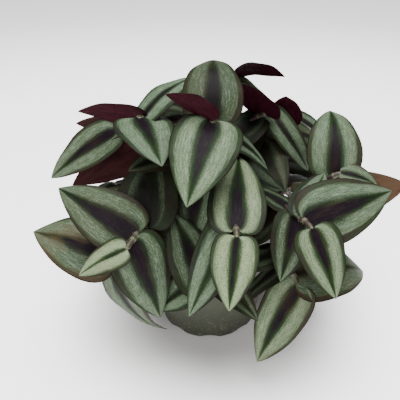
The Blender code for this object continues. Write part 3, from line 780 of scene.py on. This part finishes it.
def stalk_material(colours):
    """Green stalk flushed with red and speckled, a little paler at the sheaths."""
    made, plan, shader, place = new_material("stalk")
    flush = plan.noise(place, 70.0, 3.0, 0.6)
    specks = plan.noise(place, 1400.0, 2.0, 0.6)
    skin = plan.over(colours.stalk_green, colours.stalk_red, flush, 0.35, 0.65)
    skin = plan.over(skin, colours.stalk_red, specks, 0.55, 0.72, 0.5)
    skin = plan.mix(attribute(plan, "sheath") * 0.3, skin, colours.young_silver)
    finish_surface(plan, shader, skin, 0.4 + flush * 0.15, (0.3, 0.3 * MM, specks + flush))
    return made


def hair_material():
    """Pale hairs, some duller than others."""
    made, plan, shader, place = new_material("pale hair")
    tint = plan.mix(plan.noise(place, 300.0), colour(214, 208, 196), colour(170, 160, 150))
    finish_surface(plan, shader, tint, 0.6)
    return made


def pot_material(settings):
    """Matt moulded plastic, finely grained, a little dusty low down."""
    made, plan, shader, place = new_material("moulded pot plastic")
    height = plan.add("ShaderNodeSeparateXYZ", None, {0: place}, "Z")
    grain = plan.noise(place, 2600.0, 2.0, 0.6)
    cloud = plan.noise(place, 45.0, 4.0, 0.6)
    dust = plan.smooth(plan.noise(place, 420.0, 4.0, 0.7), 0.5, 0.72)
    low = plan.smooth(height, 34 * MM, 2 * MM)
    skin = plan.over(shaded(settings.colour, 0.78), settings.colour, cloud, 0.3, 0.7)
    skin = plan.mix(dust * (0.12 + low * 0.3), skin, colour(150, 144, 122))
    skin = plan.over(skin, colour(128, 126, 110), grain, 0.6, 0.75, 0.25)
    roughness = 0.5 + cloud * 0.12 + dust * 0.2
    finish_surface(plan, shader, skin, roughness, (0.25, 0.2 * MM, grain + dust * 0.5))
    return made


def soil_material(settings):
    """Damp peat with paler fibres."""
    made, plan, shader, place = new_material("potting soil")
    lumps = plan.noise(place, 320.0, 6.0, 0.7)
    stretch = {"X": 1.0, "Y": 6.0, "Z": 1.0}
    parts = [plan.add("ShaderNodeSeparateXYZ", None, {0: place}, axis) * stretch[axis] for axis in stretch]
    fibres = plan.noise(plan.vector(*parts), 260.0, 3.0, 0.6)
    earth = plan.over(shaded(settings.colour, 0.35), settings.colour, lumps, 0.35, 0.65)
    earth = plan.over(earth, colour(120, 96, 66), fibres, 0.62, 0.72, 0.5)
    finish_surface(plan, shader, earth, 0.78 + lumps * 0.2, (0.8, 1.5 * MM, lumps + fibres * 0.5))
    return made


def crumb_material(settings):
    """Crumbs of peat and bark, each of its own shade, with a few pale grains of perlite."""
    made, plan, shader, place = new_material("soil crumbs")
    shade = attribute(plan, "shade")
    rough = plan.noise(place, 900.0, 4.0, 0.7)
    dark = shaded(settings.colour, 0.4)
    crumb = plan.over(dark, colour(92, 70, 48), shade, 0.0, 0.9)
    crumb = plan.over(crumb, dark, rough, 0.3, 0.7, 0.5)
    crumb = plan.over(crumb, colour(205, 200, 188), shade, 0.95, 0.965)
    finish_surface(plan, shader, crumb, 0.9, (0.6, 0.6 * MM, rough))
    return made


def floor_material(settings):
    """Pale paper that glows a little away from the plant: painted light, which leaves a painted shadow round
    the pot's foot.
    """
    made, plan, shader, place = new_material("pale floor")
    tint = plan.mix(plan.noise(place, 2.0), settings.floor, shaded(settings.floor, 0.985))
    finish_surface(plan, shader, tint, 0.75)
    # Painted shadow round the pot's foot and painted glow beyond it, weaker far away, fed to the floor's
    # emission.
    away = plan.add("ShaderNodeVectorMath", {"operation": "DISTANCE"}, {0: place, 1: PAINTED_SHADOW_MIDDLE}, "Value")
    painted_glow = plan.smooth(away, *PAINTED_SHADOW_EDGES) * (1.0 - plan.smooth(away, 0.5, 1.2) * 0.5)
    plan.feed(shader.inputs["Emission Color"], plan.mix(painted_glow, colour(0, 0, 0), colour(255, 255, 255)))
    shader.inputs["Emission Strength"].default_value = settings.backlight
    shader.inputs["Specular IOR Level"].default_value = 0.2
    return made


def new_tree(name, sockets):
    """A Geometry Nodes tree with named inputs, its plan, and the wires of those inputs."""
    tree = bpy.data.node_groups.new(name, "GeometryNodeTree")
    tree.interface.new_socket("Geometry", in_out="OUTPUT", socket_type="NodeSocketGeometry")
    tree.interface.new_socket("Geometry", in_out="INPUT", socket_type="NodeSocketGeometry")
    for title, (kind, default) in sockets.items():
        made = tree.interface.new_socket(title, in_out="INPUT", socket_type="NodeSocket" + kind)
        if default is not None:
            made.default_value = default
    plan = Plan(tree)
    source = tree.nodes.new("NodeGroupInput")
    wires = {socket.name: Wire(plan, socket) for socket in source.outputs if socket.name}
    return tree, plan, wires


def output_geometry(plan, geometry):
    sink = plan.tree.nodes.new("NodeGroupOutput")
    plan.feed(sink.inputs["Geometry"], geometry)


def named(plan, name, kind="FLOAT"):
    return plan.add("GeometryNodeInputNamedAttribute", {"data_type": kind}, {"Name": name}, "Attribute")


def apply_modifiers(obj):
    """Leaves an object with the plain mesh that its modifiers make."""
    graph = bpy.context.evaluated_depsgraph_get()
    mesh = bpy.data.meshes.new_from_object(obj.evaluated_get(graph))
    obj.modifiers.clear()
    obj.data = mesh
    mesh.name = obj.name


def apply_tree(obj, tree, values):
    """Runs a tree on an object with the values of its named inputs, and leaves a plain mesh."""
    modifier = obj.modifiers.new(tree.name, "NODES")
    modifier.node_group = tree
    for item in tree.interface.items_tree:
        if item.in_out == "INPUT" and item.name in values:
            modifier[item.identifier] = values[item.name]
    apply_modifiers(obj)


def realized(plan, instances, material):
    """Instances made real, with a material."""
    real = plan.add("GeometryNodeRealizeInstances", None, {0: instances})
    return plan.add("GeometryNodeSetMaterial", None, {"Geometry": real, "Material": material})


def bent_blades(plan, given):
    """Places a flat blade at each marked point, and bends, folds, cups and waves it as that point says."""
    blade = plan.add("GeometryNodeObjectInfo", None, {"Object": given["Blade"]}, "Geometry")
    leaves = plan.add("GeometryNodeInstanceOnPoints", None, {
        "Points": given["Geometry"], "Selection": named(plan, "leafed", "BOOLEAN"), "Instance": blade,
    })
    leaves = realized(plan, leaves, given["Leaf"])
    along, across = named(plan, "along"), named(plan, "across")
    length, fold = named(plan, "length"), named(plan, "fold")
    root, forward, left, face = (
        named(plan, name, "FLOAT_VECTOR") for name in ("root", "forward", "leftward", "face")
    )
    bend = named(plan, "droop") * along
    turn, rest = plan.math("SINE", bend), plan.math("COSINE", bend)
    ahead = forward * rest - face * turn
    above = face * rest + forward * turn
    radius = length / named(plan, "droop")
    midrib = root + forward * (radius * turn) - face * (radius * (1.0 - rest))
    half = named(plan, "half_width") * named(plan, "reach")
    square = across * across
    ripple = plan.math("SINE", along * 13.0 + named(plan, "number") * 2.4 + across * 1.3)
    wave = ripple * square * given["Edge wave"]
    lift = half * (named(plan, "crease") * plan.math("SINE", fold) - given["Cup"] * square + wave)
    slope = named(plan, "crease_slope") * plan.math("TANGENT", fold) - 2.0 * given["Cup"] * across
    normal = plan.add("ShaderNodeVectorMath", {"operation": "NORMALIZE"}, {0: above - left * slope})
    place = midrib - ahead * (named(plan, "lobe") * length * given["Base lobe"])
    place = place + left * (half * across * plan.math("COSINE", fold)) + above * lift
    place = place + normal * (named(plan, "side") * named(plan, "depth"))
    return plan.add("GeometryNodeSetPosition", None, {"Geometry": leaves, "Position": place})


def round_stalk(plan, given):
    """Wraps the stem's line in a round stalk of the thickness stored along it."""
    curve = plan.add("GeometryNodeMeshToCurve", None, {0: given["Geometry"]})
    ring = {"Resolution": given["Stalk sides"], "Radius": 1.0}
    ring = plan.add("GeometryNodeCurvePrimitiveCircle", None, ring)
    inputs = {"Curve": curve, "Profile Curve": ring, "Scale": named(plan, "thickness"), "Fill Caps": True}
    stalk = plan.add("GeometryNodeCurveToMesh", None, inputs)
    return plan.add("GeometryNodeSetMaterial", None, {"Geometry": stalk, "Material": given["Stalk"]})


def sheath_hairs(plan, given, stalk):
    """Scatters fine leaning hairs over the mouths of the sheaths."""
    mouth = plan.math("GREATER_THAN", named(plan, "sheath"), 0.5)
    spots = plan.node("GeometryNodeDistributePointsOnFaces", {"distribute_method": "RANDOM"}, {
        "Mesh": stalk, "Selection": mouth, "Density": given["Hair density"], "Seed": given["Seed"],
    })
    hair = plan.add("GeometryNodeMeshCone", {"fill_type": "TRIANGLE_FAN"}, {
        "Vertices": 3, "Radius Top": 0.0, "Radius Bottom": 0.05 * MM, "Depth": given["Hair length"],
    })
    lean = plan.add("FunctionNodeRandomValue", {"data_type": "FLOAT_VECTOR"}, {
        0: (-0.7, -0.7, -0.3), 1: (0.7, 0.7, 0.9), "Seed": given["Seed"],
    })
    outward = Wire(plan, spots.outputs["Normal"]) + lean
    spin = plan.add("FunctionNodeAlignRotationToVector", {"axis": "Z"}, {"Vector": outward})
    hairs = plan.add("GeometryNodeInstanceOnPoints", None, {
        "Points": Wire(plan, spots.outputs["Points"]), "Instance": hair, "Rotation": spin,
    })
    return realized(plan, hairs, given["Hair"])


def leafy_stem_tree():
    """Grows blades from the marked points of a stem's line, wraps it in a stalk, and adds sheath hairs."""
    tree, plan, given = new_tree("leafy stem", {
        "Blade": ("Object", None),
        "Cup": ("Float", CUP),
        "Base lobe": ("Float", BASE_LOBE),
        "Edge wave": ("Float", 0.05),
        "Stalk sides": ("Int", 14),
        "Hair length": ("Float", 1.3 * MM),
        "Hair density": ("Float", 900000.0),
        "Seed": ("Int", 5),
        "Leaf": ("Material", None),
        "Stalk": ("Material", None),
        "Hair": ("Material", None),
    })
    stalk = round_stalk(plan, given)
    joined = plan.node("GeometryNodeJoinGeometry")
    for part in (sheath_hairs(plan, given, stalk), stalk, bent_blades(plan, given)):
        plan.tree.links.new(part.socket, joined.inputs[0])
    whole = Wire(plan, joined.outputs[0])
    output_geometry(plan, plan.add("GeometryNodeSetShadeSmooth", None, {"Geometry": whole}))
    return tree


def crumb_tree():
    """Scatters crumbs over a surface, each turned, sized and shaded at random, and roughened."""
    tree, plan, given = new_tree("soil crumbs", {
        "Density": ("Float", 120000.0),
        "Smallest": ("Float", 0.5 * MM),
        "Largest": ("Float", 1.5 * MM),
        "Seed": ("Int", 9),
        "Crumb": ("Material", None),
    })
    spots = plan.add("GeometryNodeDistributePointsOnFaces", {"distribute_method": "RANDOM"}, {
        "Mesh": given["Geometry"], "Density": given["Density"], "Seed": given["Seed"],
    }, "Points")
    shade = plan.add("FunctionNodeRandomValue", {"data_type": "FLOAT"}, {"Seed": given["Seed"]})
    spots = plan.add("GeometryNodeStoreNamedAttribute", {"data_type": "FLOAT", "domain": "POINT"}, {
        "Geometry": spots, "Name": "shade", "Value": shade,
    })
    size = plan.add("FunctionNodeRandomValue", {"data_type": "FLOAT"}, {
        "Min": given["Smallest"], "Max": given["Largest"], "Seed": given["Seed"] + 1.0,
    })
    turn = plan.add("FunctionNodeRandomValue", {"data_type": "FLOAT_VECTOR"}, {
        0: (0.0, 0.0, 0.0), 1: (6.28, 6.28, 6.28), "Seed": given["Seed"] + 2.0,
    })
    spin = plan.add("FunctionNodeEulerToRotation", None, {0: turn})
    ball = plan.add("GeometryNodeMeshIcoSphere", None, {"Radius": 1.0, "Subdivisions": 1}, "Mesh")
    crumbs = plan.add("GeometryNodeInstanceOnPoints", None, {
        "Points": spots, "Instance": ball, "Rotation": spin,
        "Scale": plan.vector(size, size * 0.8, size * 0.65),
    })
    crumbs = realized(plan, crumbs, given["Crumb"])
    push = plan.noise(plan.add("GeometryNodeInputPosition"), 900.0, 1.0) - 0.5
    offset = plan.add("GeometryNodeInputNormal") * (push * CRUMB_ROUGHNESS)
    output_geometry(plan, plan.add("GeometryNodeSetPosition", None, {"Geometry": crumbs, "Offset": offset}))
    return tree


def new_object(name, vertices, faces=(), edges=()):
    mesh = bpy.data.meshes.new(name)
    mesh.from_pydata([tuple(v) for v in vertices], [tuple(e) for e in edges], [tuple(f) for f in faces])
    obj = bpy.data.objects.new(name, mesh)
    bpy.context.scene.collection.objects.link(obj)
    return obj


def store(mesh, name, kind, values, domain="POINT"):
    """Writes one attribute of a mesh, a number, a truth value or a vector for each of its elements."""
    layer = mesh.attributes.new(name, kind, domain)
    key = "vector" if kind == "FLOAT_VECTOR" else "value"
    layer.data.foreach_set(key, np.asarray(values, np.float32 if kind != "BOOLEAN" else bool).ravel())


def pattern_grid():
    """Points of a closed flat blade, as shares along it and across it and a side, its faces and its rim."""
    rows = (1 - np.cos(np.linspace(0, math.pi, FINE_ROWS + 1))) / 2
    columns = np.linspace(-1, 1, FINE_COLUMNS)
    spots, faces, rim, index = [], [], set(), {}
    for side in (1, -1):
        for row, s in enumerate(rows):
            ends = row in (0, FINE_ROWS)
            for column, t in enumerate(columns):
                if ends and column:
                    index[side, row, column] = index[side, row, 0]
                    continue
                index[side, row, column] = len(spots)
                spots.append((s, 0.0 if ends else t, side))
    for side in (1, -1):
        for row, column in itertools.product(range(FINE_ROWS), range(FINE_COLUMNS - 1)):
            ring = [index[side, row, column], index[side, row + 1, column]]
            ring += [index[side, row + 1, column + 1], index[side, row, column + 1]]
            ring = list(dict.fromkeys(ring))
            faces.append(ring if side == 1 else ring[::-1])
    for column, row in itertools.product((0, FINE_COLUMNS - 1), range(FINE_ROWS)):
        a, b = index[1, row, column], index[1, row + 1, column]
        c, d = index[-1, row, column], index[-1, row + 1, column]
        rim |= {frozenset((a, b)), frozenset((c, d))}
        faces.append([a, c, d, b] if column == 0 else [a, b, d, c])
    return np.array(spots), faces, rim


def blade_pattern():
    """The flat pattern of a closed blade, whose points hold how far along and across it they are."""
    spots, faces, rim = pattern_grid()
    obj = new_object("blade pattern", spots * (1, 0.4, 0.01), faces)
    s, t, side = spots.T
    shape = outline(np.clip(s, 1e-6, 1 - 1e-6))
    shape[(s == 0) | (s == 1)] = 0
    soft = np.sqrt(t**2 + CREASE_WIDTH**2)
    facts = {
        "along": s,
        "across": t,
        "side": side,
        "reach": shape,
        "crease": soft - CREASE_WIDTH,
        "crease_slope": t / soft,
        "lobe": np.abs(t) ** 1.5 * (1 - s) ** 3 * shape,
        "depth": FINE_HALF_DEPTH * (1 - 0.45 * t**2),
    }
    for name, values in facts.items():
        store(obj.data, name, "FLOAT", values)
    marks = [frozenset(edge.vertices) in rim for edge in obj.data.edges]
    store(obj.data, "sharp_edge", "BOOLEAN", marks, "EDGE")
    return obj


def line_marks(total, nodes):
    """Distances back from a stem's tip of the points of its line, closer together at each sheath's ends."""
    marks = set(np.round(np.linspace(0, total, max(4, round(total / LINE_SPACING))), 6))
    for node in nodes:
        marks |= {round(node + step * MM, 6) for step in SHEATH_MARKS if node + step * MM < total}
    marks = sorted(m for m in marks if all(abs(m - node) > 0.3 * MM for node in nodes) and m >= 0)
    return sorted([m for i, m in enumerate(marks) if i == 0 or m - marks[i - 1] > 0.25 * MM] + nodes)


def stalk_radius(mark, below, total):
    """Radius of a stalk at a mark that lies some way below the last node above it."""
    radius = STEM_TIP_RADIUS + (STEM_BASE_RADIUS - STEM_TIP_RADIUS) * mark / total
    if below < SHEATH_LENGTH:
        radius += SHEATH_SWELL * (0.95 - 0.6 * below / SHEATH_LENGTH)
    elif below < SHEATH_LENGTH + 1.6 * MM:
        radius += SHEATH_SWELL * 0.75
    return radius * (0.35 + 0.65 * min(mark / TIP_TAPER, 1))


def stem_line(name, curve, leaves, looks):
    """A stem's line, with its thickness, its sheath mouths, and at each node the pose of its leaf."""
    total = along_curve(curve, 0)[2]
    nodes = [leaf.back * MM for leaf, _ in leaves]
    marks = line_marks(total, nodes)
    spots = [along_curve(curve, mark)[0] for mark in marks]
    obj = new_object(name, spots, (), list(itertools.pairwise(range(len(spots)))))
    below = [min([mark - node for node in nodes if -0.2 * MM <= mark - node], default=1.0) for mark in marks]
    radii = [stalk_radius(mark, gap, total) for mark, gap in zip(marks, below)]
    store(obj.data, "thickness", "FLOAT", radii)
    store(obj.data, "sheath", "FLOAT", [1.0 if gap < 1.0 * MM else 0.0 for gap in below])
    bearing = {round(node, 6): k for k, node in enumerate(nodes)}
    order = [bearing.get(round(mark, 6)) for mark in marks]
    store(obj.data, "leafed", "BOOLEAN", [place is not None for place in order])
    names = ("root", "forward", "leftward", "face", "length", "half_width", "droop", "fold")
    held = {key: [] for key in (*names, "number", *Look._fields)}
    for place in order:
        leaf, root = leaves[place or 0]
        facts = (root, *blade_axes(leaf), leaf.length * MM, leaf.width * MM / 2)
        facts += (max(math.radians(leaf.droop), 0.001), math.radians(leaf.fold))
        for key, value in zip(held, (*facts, *looks[place or 0])):
            held[key].append(value)
    for key, values in held.items():
        store(obj.data, key, "FLOAT_VECTOR" if np.ndim(values) == 2 else "FLOAT", values)
    return obj


def drawn_look(draw, back):
    """A look drawn for a leaf of the rule: the further it is from the stem's tip, the older and darker; the
    darkening is partly age and partly painted shade for the plant's shaded inside.
    """
    youth = draw.uniform(0.0, 0.4) * max(0.0, 1 - back / OLD_AND_SHADED_FROM)
    return Look(youth, draw.uniform(0.24, 0.4), draw.uniform(0.66, 0.84), draw.uniform(0.0, 0.4))


def pot_skin(settings):
    """Half-section of the fine pot, rounded at its corners, from the boss's underside to the floor inside."""
    foot = POT_BASE_RADIUS - 2 * MM
    soft = settings.corner
    rim = POT_TOP_RADIUS
    return [
        (0, 0),
        (BOSS_RADIUS - 0.4 * MM, 0),
        (BOSS_RADIUS + 0.1 * MM, 0.4 * MM),
        (BOSS_RADIUS + 0.8 * MM, FLOOR_LIFT - 0.3 * MM),
        (BOSS_RADIUS + 1.4 * MM, FLOOR_LIFT),
        (foot - 0.4 * MM, FLOOR_LIFT),
        (foot, FLOOR_LIFT - 0.4 * MM),
        (foot + 0.05 * MM, 0.3 * MM),
        (foot + 0.35 * MM, 0),
        (POT_BASE_RADIUS - soft, 0),
        (POT_BASE_RADIUS - soft * 0.3, soft * 0.3),
        (POT_BASE_RADIUS + 0.1 * MM, soft),
        *[(pot_radius(z), z) for z in np.linspace(6 * MM, RIM_Z - 0.6 * MM, 12)],
        (pot_radius(RIM_Z) + 0.4 * MM, RIM_Z),
        (rim - 0.9 * MM, RIM_Z + 0.3 * MM),
        (rim - 0.4 * MM, RIM_Z + 0.9 * MM),
        (rim - 0.3 * MM, RIM_Z + 2 * MM),
        (rim - 0.05 * MM, POT_HEIGHT - 1.4 * MM),
        (rim - 0.3 * MM, POT_HEIGHT - 0.4 * MM),
        (rim - 0.9 * MM, POT_HEIGHT),
        (rim - 1.5 * MM, POT_HEIGHT - 0.3 * MM),
        (rim - 1.8 * MM, POT_HEIGHT - 1 * MM),
        (rim - 2.1 * MM, RIM_Z + 2.6 * MM),
        (pot_radius(RIM_Z) - POT_WALL, RIM_Z - 0.5 * MM),
        (pot_radius(FLOOR_TOP) - POT_WALL, FLOOR_TOP + 1 * MM),
        (pot_radius(FLOOR_TOP) - POT_WALL - 1 * MM, FLOOR_TOP),
        (0, FLOOR_TOP),
    ]


def fine_pot(settings):
    """The pot as one turned shell, its foot ring raised into arches and its floor pierced by drain holes."""
    vertices, faces = turned(pot_skin(settings), POT_FINE_SIDES)
    across = np.hypot(vertices[:, 0], vertices[:, 1])
    foot = (across > POT_BASE_RADIUS - 2.2 * MM) & (vertices[:, 2] < FLOOR_LIFT - 0.5 * MM)
    turn = np.degrees(np.arctan2(vertices[:, 1], vertices[:, 0])) + 90
    step = 360 / FOOT_ARCHES
    sideways = np.radians((turn + step / 2) % step - step / 2) * across
    arch = ARCH_HEIGHT * np.clip(1 - (sideways / ARCH_HALF_WIDTH) ** 2, 0, 1)
    vertices[:, 2] = np.where(foot, np.maximum(vertices[:, 2], arch + vertices[:, 2] * 0.15), vertices[:, 2])
    pot = new_object("nursery_pot", vertices, faces)
    cutters = bpy.data.collections.new("drain cutters")
    bpy.context.scene.collection.children.link(cutters)
    for k in range(DRAIN_HOLES):
        centre = DRAIN_RING * direction(30 + 360 * k / DRAIN_HOLES, 0)
        low, high = FLOOR_LIFT - 2 * MM, FLOOR_TOP + 2 * MM
        spots, rings = turned([(0, low), (DRAIN_RADIUS, low), (DRAIN_RADIUS, high), (0, high)], DRAIN_SIDES)
        post = new_object("drain", spots + centre, rings)
        bpy.context.scene.collection.objects.unlink(post)
        cutters.objects.link(post)
    cut = pot.modifiers.new("drain holes", "BOOLEAN")
    cut.operand_type = "COLLECTION"
    cut.collection = cutters
    cut.operation = "DIFFERENCE"
    cut.solver = "EXACT"
    apply_modifiers(pot)
    for post in list(cutters.objects):
        bpy.data.objects.remove(post, do_unlink=True)
    bpy.data.collections.remove(cutters)
    pot.data.shade_smooth()
    pot.data.set_sharp_from_angle(angle=POT_SMOOTH_BELOW)
    return pot


def dress(obj, surface):
    obj.data.materials.clear()
    obj.data.materials.append(surface)


def area_light(name, place, aim, size, power, tint):
    light = bpy.data.lights.new(name, "AREA")
    light.shape = "DISK"
    light.size = size
    light.energy = power
    light.color = tint
    obj = bpy.data.objects.new(name, light)
    bpy.context.scene.collection.objects.link(obj)
    obj.location = place
    obj.rotation_euler = (Vector(aim) - Vector(place)).to_track_quat("-Z", "Y").to_euler()


def new_camera(distance, tilt):
    """A camera in front of the plant, which looks down at its middle by a tilt."""
    lens = bpy.data.cameras.new("camera")
    lens.sensor_width = SENSOR
    lens.lens = LENS
    camera = bpy.data.objects.new("camera", lens)
    bpy.context.scene.collection.objects.link(camera)
    away = Vector((0, -math.cos(tilt), math.sin(tilt))) * distance
    camera.location = Vector(AIM) + away
    camera.rotation_euler = (math.pi / 2 - tilt, 0, 0)
    return camera


def tone(name, description, default):
    return bpy.props.FloatVectorProperty(
        name=name, description=description, subtype="COLOR", size=4, min=0, max=1, default=default
    )


class FoliageSettings(bpy.types.PropertyGroup):
    """Colours and finish of the leaves and stalks."""

    silver: tone("Silver band", "Band on each side of a leaf's middle stripe", colour(93, 109, 89))
    old_silver: tone("Old band", "The same band on an old leaf", colour(68, 77, 62))
    young_silver: tone("Young band", "The same band on a young leaf", colour(138, 151, 116))
    band_shade: tone("Band shade", "Streaks in the silver bands", colour(57, 76, 50))
    glitter: tone("Glitter", "Bright cells in the silver bands", colour(140, 154, 134))
    stripe_purple: tone("Purple stripe", "Middle of the leaf near its base", colour(26, 18, 25))
    stripe_green: tone("Green stripe", "Middle of the leaf near its tip", colour(18, 26, 16))
    young_green: tone("Young green", "Dark parts of a young leaf", colour(30, 42, 22))
    halo: tone("Halo", "Green edge of the stripe", colour(40, 60, 32))
    margin: tone("Margin", "Outer part of the upper face", colour(26, 34, 22))
    edge: tone("Edge", "Thin line round the blade", colour(32, 24, 20))
    worn: tone("Worn leaf", "Brown of an ageing leaf", colour(98, 78, 58))
    underside: tone("Underside", "Lower face of the blade", colour(38, 10, 18))
    underside_light: tone("Underside bloom", "Paler parts of the lower face", colour(54, 18, 28))
    young_underside: tone("Young underside", "Lower face of a young blade", colour(110, 62, 72))
    stalk_green: tone("Stalk", "Skin of the stalk", colour(62, 62, 40))
    stalk_red: tone("Stalk flush", "Red flush on the stalk", colour(52, 26, 30))
    edge_wave: bpy.props.FloatProperty(
        name="Edge wave", description="Height of the margin's waves, as a share of half the width",
        default=0.05, min=0, max=0.2, subtype="FACTOR",
    )
    hair_length: bpy.props.FloatProperty(
        name="Hair length", description="Length of the hairs at each sheath's mouth",
        default=1.3 * MM, min=0, max=4 * MM, unit="LENGTH",
    )


class PotSettings(bpy.types.PropertyGroup):
    """Colour and corners of the pot."""

    colour: tone("Pot", "Colour of the plastic", colour(56, 60, 46))
    corner: bpy.props.FloatProperty(
        name="Corner", description="Rounding of the foot's outer edge", default=0.6 * MM, unit="LENGTH"
    )


class SoilSettings(bpy.types.PropertyGroup):
    """Colour and crumbs of the soil."""

    colour: tone("Soil", "Colour of the damp soil", colour(40, 30, 22))
    crumb_size: bpy.props.FloatProperty(
        name="Crumb size", description="Radius of the largest crumbs", default=1.5 * MM, unit="LENGTH"
    )


class StageSettings(bpy.types.PropertyGroup):
    """Floor, lights and camera."""

    floor: tone("Floor", "Colour of the floor", colour(248, 248, 247))
    # Strength of the floor's painted glow, which is emission and not a lamp.
    backlight: bpy.props.FloatProperty(
        name="Painted_floor_glow", description="Glow of the floor away from the plant", default=1.85, min=0, max=5
    )
    brightness: bpy.props.FloatProperty(
        name="Brightness", description="Share of the full strength of the lights", default=1.0, min=0, max=4
    )
    camera_distance: bpy.props.FloatProperty(
        name="Camera distance", description="From the camera to the middle of the plant",
        default=400 * MM, unit="LENGTH",
    )
    camera_height: bpy.props.FloatProperty(
        name="Camera elevation", description="How far the camera looks down",
        default=math.radians(30), subtype="ANGLE",
    )


class TRADESCANTIA_OT_leafy_stems(bpy.types.Operator):
    """Add every leafy stem, with fine striped leaves, in the place of its plain solid"""

    bl_idname = "tradescantia.leafy_stems"
    bl_label = "Leafy Stems"

    def execute(self, context):
        settings = context.scene.tradescantia_foliage
        surfaces = leaf_material(settings), stalk_material(settings), hair_material()
        tree = leafy_stem_tree()
        pattern = blade_pattern()
        draw = random.Random(FILL_SEED)
        grown = grow()
        count = 0
        for stem in STEMS:
            curve, leaves = grown[stem.name]
            if not leaves:
                raise RuntimeError("the stem " + stem.name + " bears no leaf")
            looks = []
            for leaf, _ in leaves:
                drawn = drawn_look(draw, leaf.back)
                looks.append((count, *LOOKS.get((stem.name, leaf.back), drawn)))
                count += 1
            piece = stem_line("leafy_" + stem.name, curve, leaves, looks)
            apply_tree(piece, tree, {
                "Blade": pattern,
                "Edge wave": settings.edge_wave,
                "Hair length": settings.hair_length,
                "Leaf": surfaces[0],
                "Stalk": surfaces[1],
                "Hair": surfaces[2],
            })
            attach(piece, "root")
            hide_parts("stem_" + stem.name)
        bpy.data.objects.remove(pattern, do_unlink=True)
        return {"FINISHED"}


class TRADESCANTIA_OT_pot(bpy.types.Operator):
    """Add the round, finely moulded pot in the place of its faceted solid"""

    bl_idname = "tradescantia.pot"
    bl_label = "Nursery Pot"

    def execute(self, context):
        settings = context.scene.tradescantia_pot
        pot = fine_pot(settings)
        dress(pot, pot_material(settings))
        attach(pot, "root")
        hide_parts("pot")
        return {"FINISHED"}


class TRADESCANTIA_OT_soil(bpy.types.Operator):
    """Colour the soil and scatter crumbs over it"""

    bl_idname = "tradescantia.soil"
    bl_label = "Soil"

    def execute(self, context):
        settings = context.scene.tradescantia_soil
        dress(frame["nodes"]["soil"], soil_material(settings))
        edge = POT_TOP_RADIUS - 4.6 * MM
        spots, faces = turned([(0, SOIL_TOP), (edge * 0.5, SOIL_TOP), (edge, SOIL_TOP)], POT_SIDES)
        crumbs = new_object("soil_crumbs", spots, faces)
        apply_tree(crumbs, crumb_tree(), {"Largest": settings.crumb_size, "Crumb": crumb_material(settings)})
        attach(crumbs, "root")
        return {"FINISHED"}


class TRADESCANTIA_OT_stage(bpy.types.Operator):
    """Add the floor, the lights and the camera"""

    bl_idname = "tradescantia.stage"
    bl_label = "Stage"

    def execute(self, context):
        settings = context.scene.tradescantia_stage
        spots, faces = turned([(FLOOR_RADIUS, 0), (0, 0)], 64)
        floor = new_object("floor", spots, faces)
        dress(floor, floor_material(settings))
        share = settings.brightness
        for name, place, aim, size, power, tint in LIGHTS:
            area_light(name, place, aim, size, power * share, tint)
        world = context.scene.world or bpy.data.worlds.new("studio")
        context.scene.world = world
        world.use_nodes = True
        sky = world.node_tree.nodes["Background"]
        sky.inputs["Color"].default_value = SKY_COLOUR
        sky.inputs["Strength"].default_value = SKY_STRENGTH * share
        context.scene.camera = new_camera(settings.camera_distance, settings.camera_height)
        return {"FINISHED"}


class TRADESCANTIA_PT_panel(bpy.types.Panel):
    """Lists the steps that dress the plant"""

    bl_idname = "TRADESCANTIA_PT_panel"
    bl_label = "Potted Tradescantia"
    bl_space_type = "VIEW_3D"
    bl_region_type = "UI"
    bl_category = "Tradescantia"

    def draw(self, context):
        for step in STEPS:
            self.layout.operator(step.bl_idname)
        for group in GROUPS:
            box = self.layout.box()
            for name in group.__annotations__:
                box.prop(getattr(context.scene, group_name(group)), name)


GROUPS = (FoliageSettings, PotSettings, SoilSettings, StageSettings)
STEPS = (
    TRADESCANTIA_OT_leafy_stems,
    TRADESCANTIA_OT_pot,
    TRADESCANTIA_OT_soil,
    TRADESCANTIA_OT_stage,
)


def group_name(group):
    return "tradescantia_" + group.__name__.removesuffix("Settings").lower()


def register():
    for item in (*GROUPS, *STEPS, TRADESCANTIA_PT_panel):
        bpy.utils.register_class(item)
    for group in GROUPS:
        setattr(bpy.types.Scene, group_name(group), bpy.props.PointerProperty(type=group))


def unregister():
    for group in GROUPS:
        delattr(bpy.types.Scene, group_name(group))
    for item in reversed((*GROUPS, *STEPS, TRADESCANTIA_PT_panel)):
        bpy.utils.unregister_class(item)


def main():
    register()
    for step in STEPS:
        space, name = step.bl_idname.split(".")
        getattr(getattr(bpy.ops, space), name)()


if __name__ == "__main__":
    main()
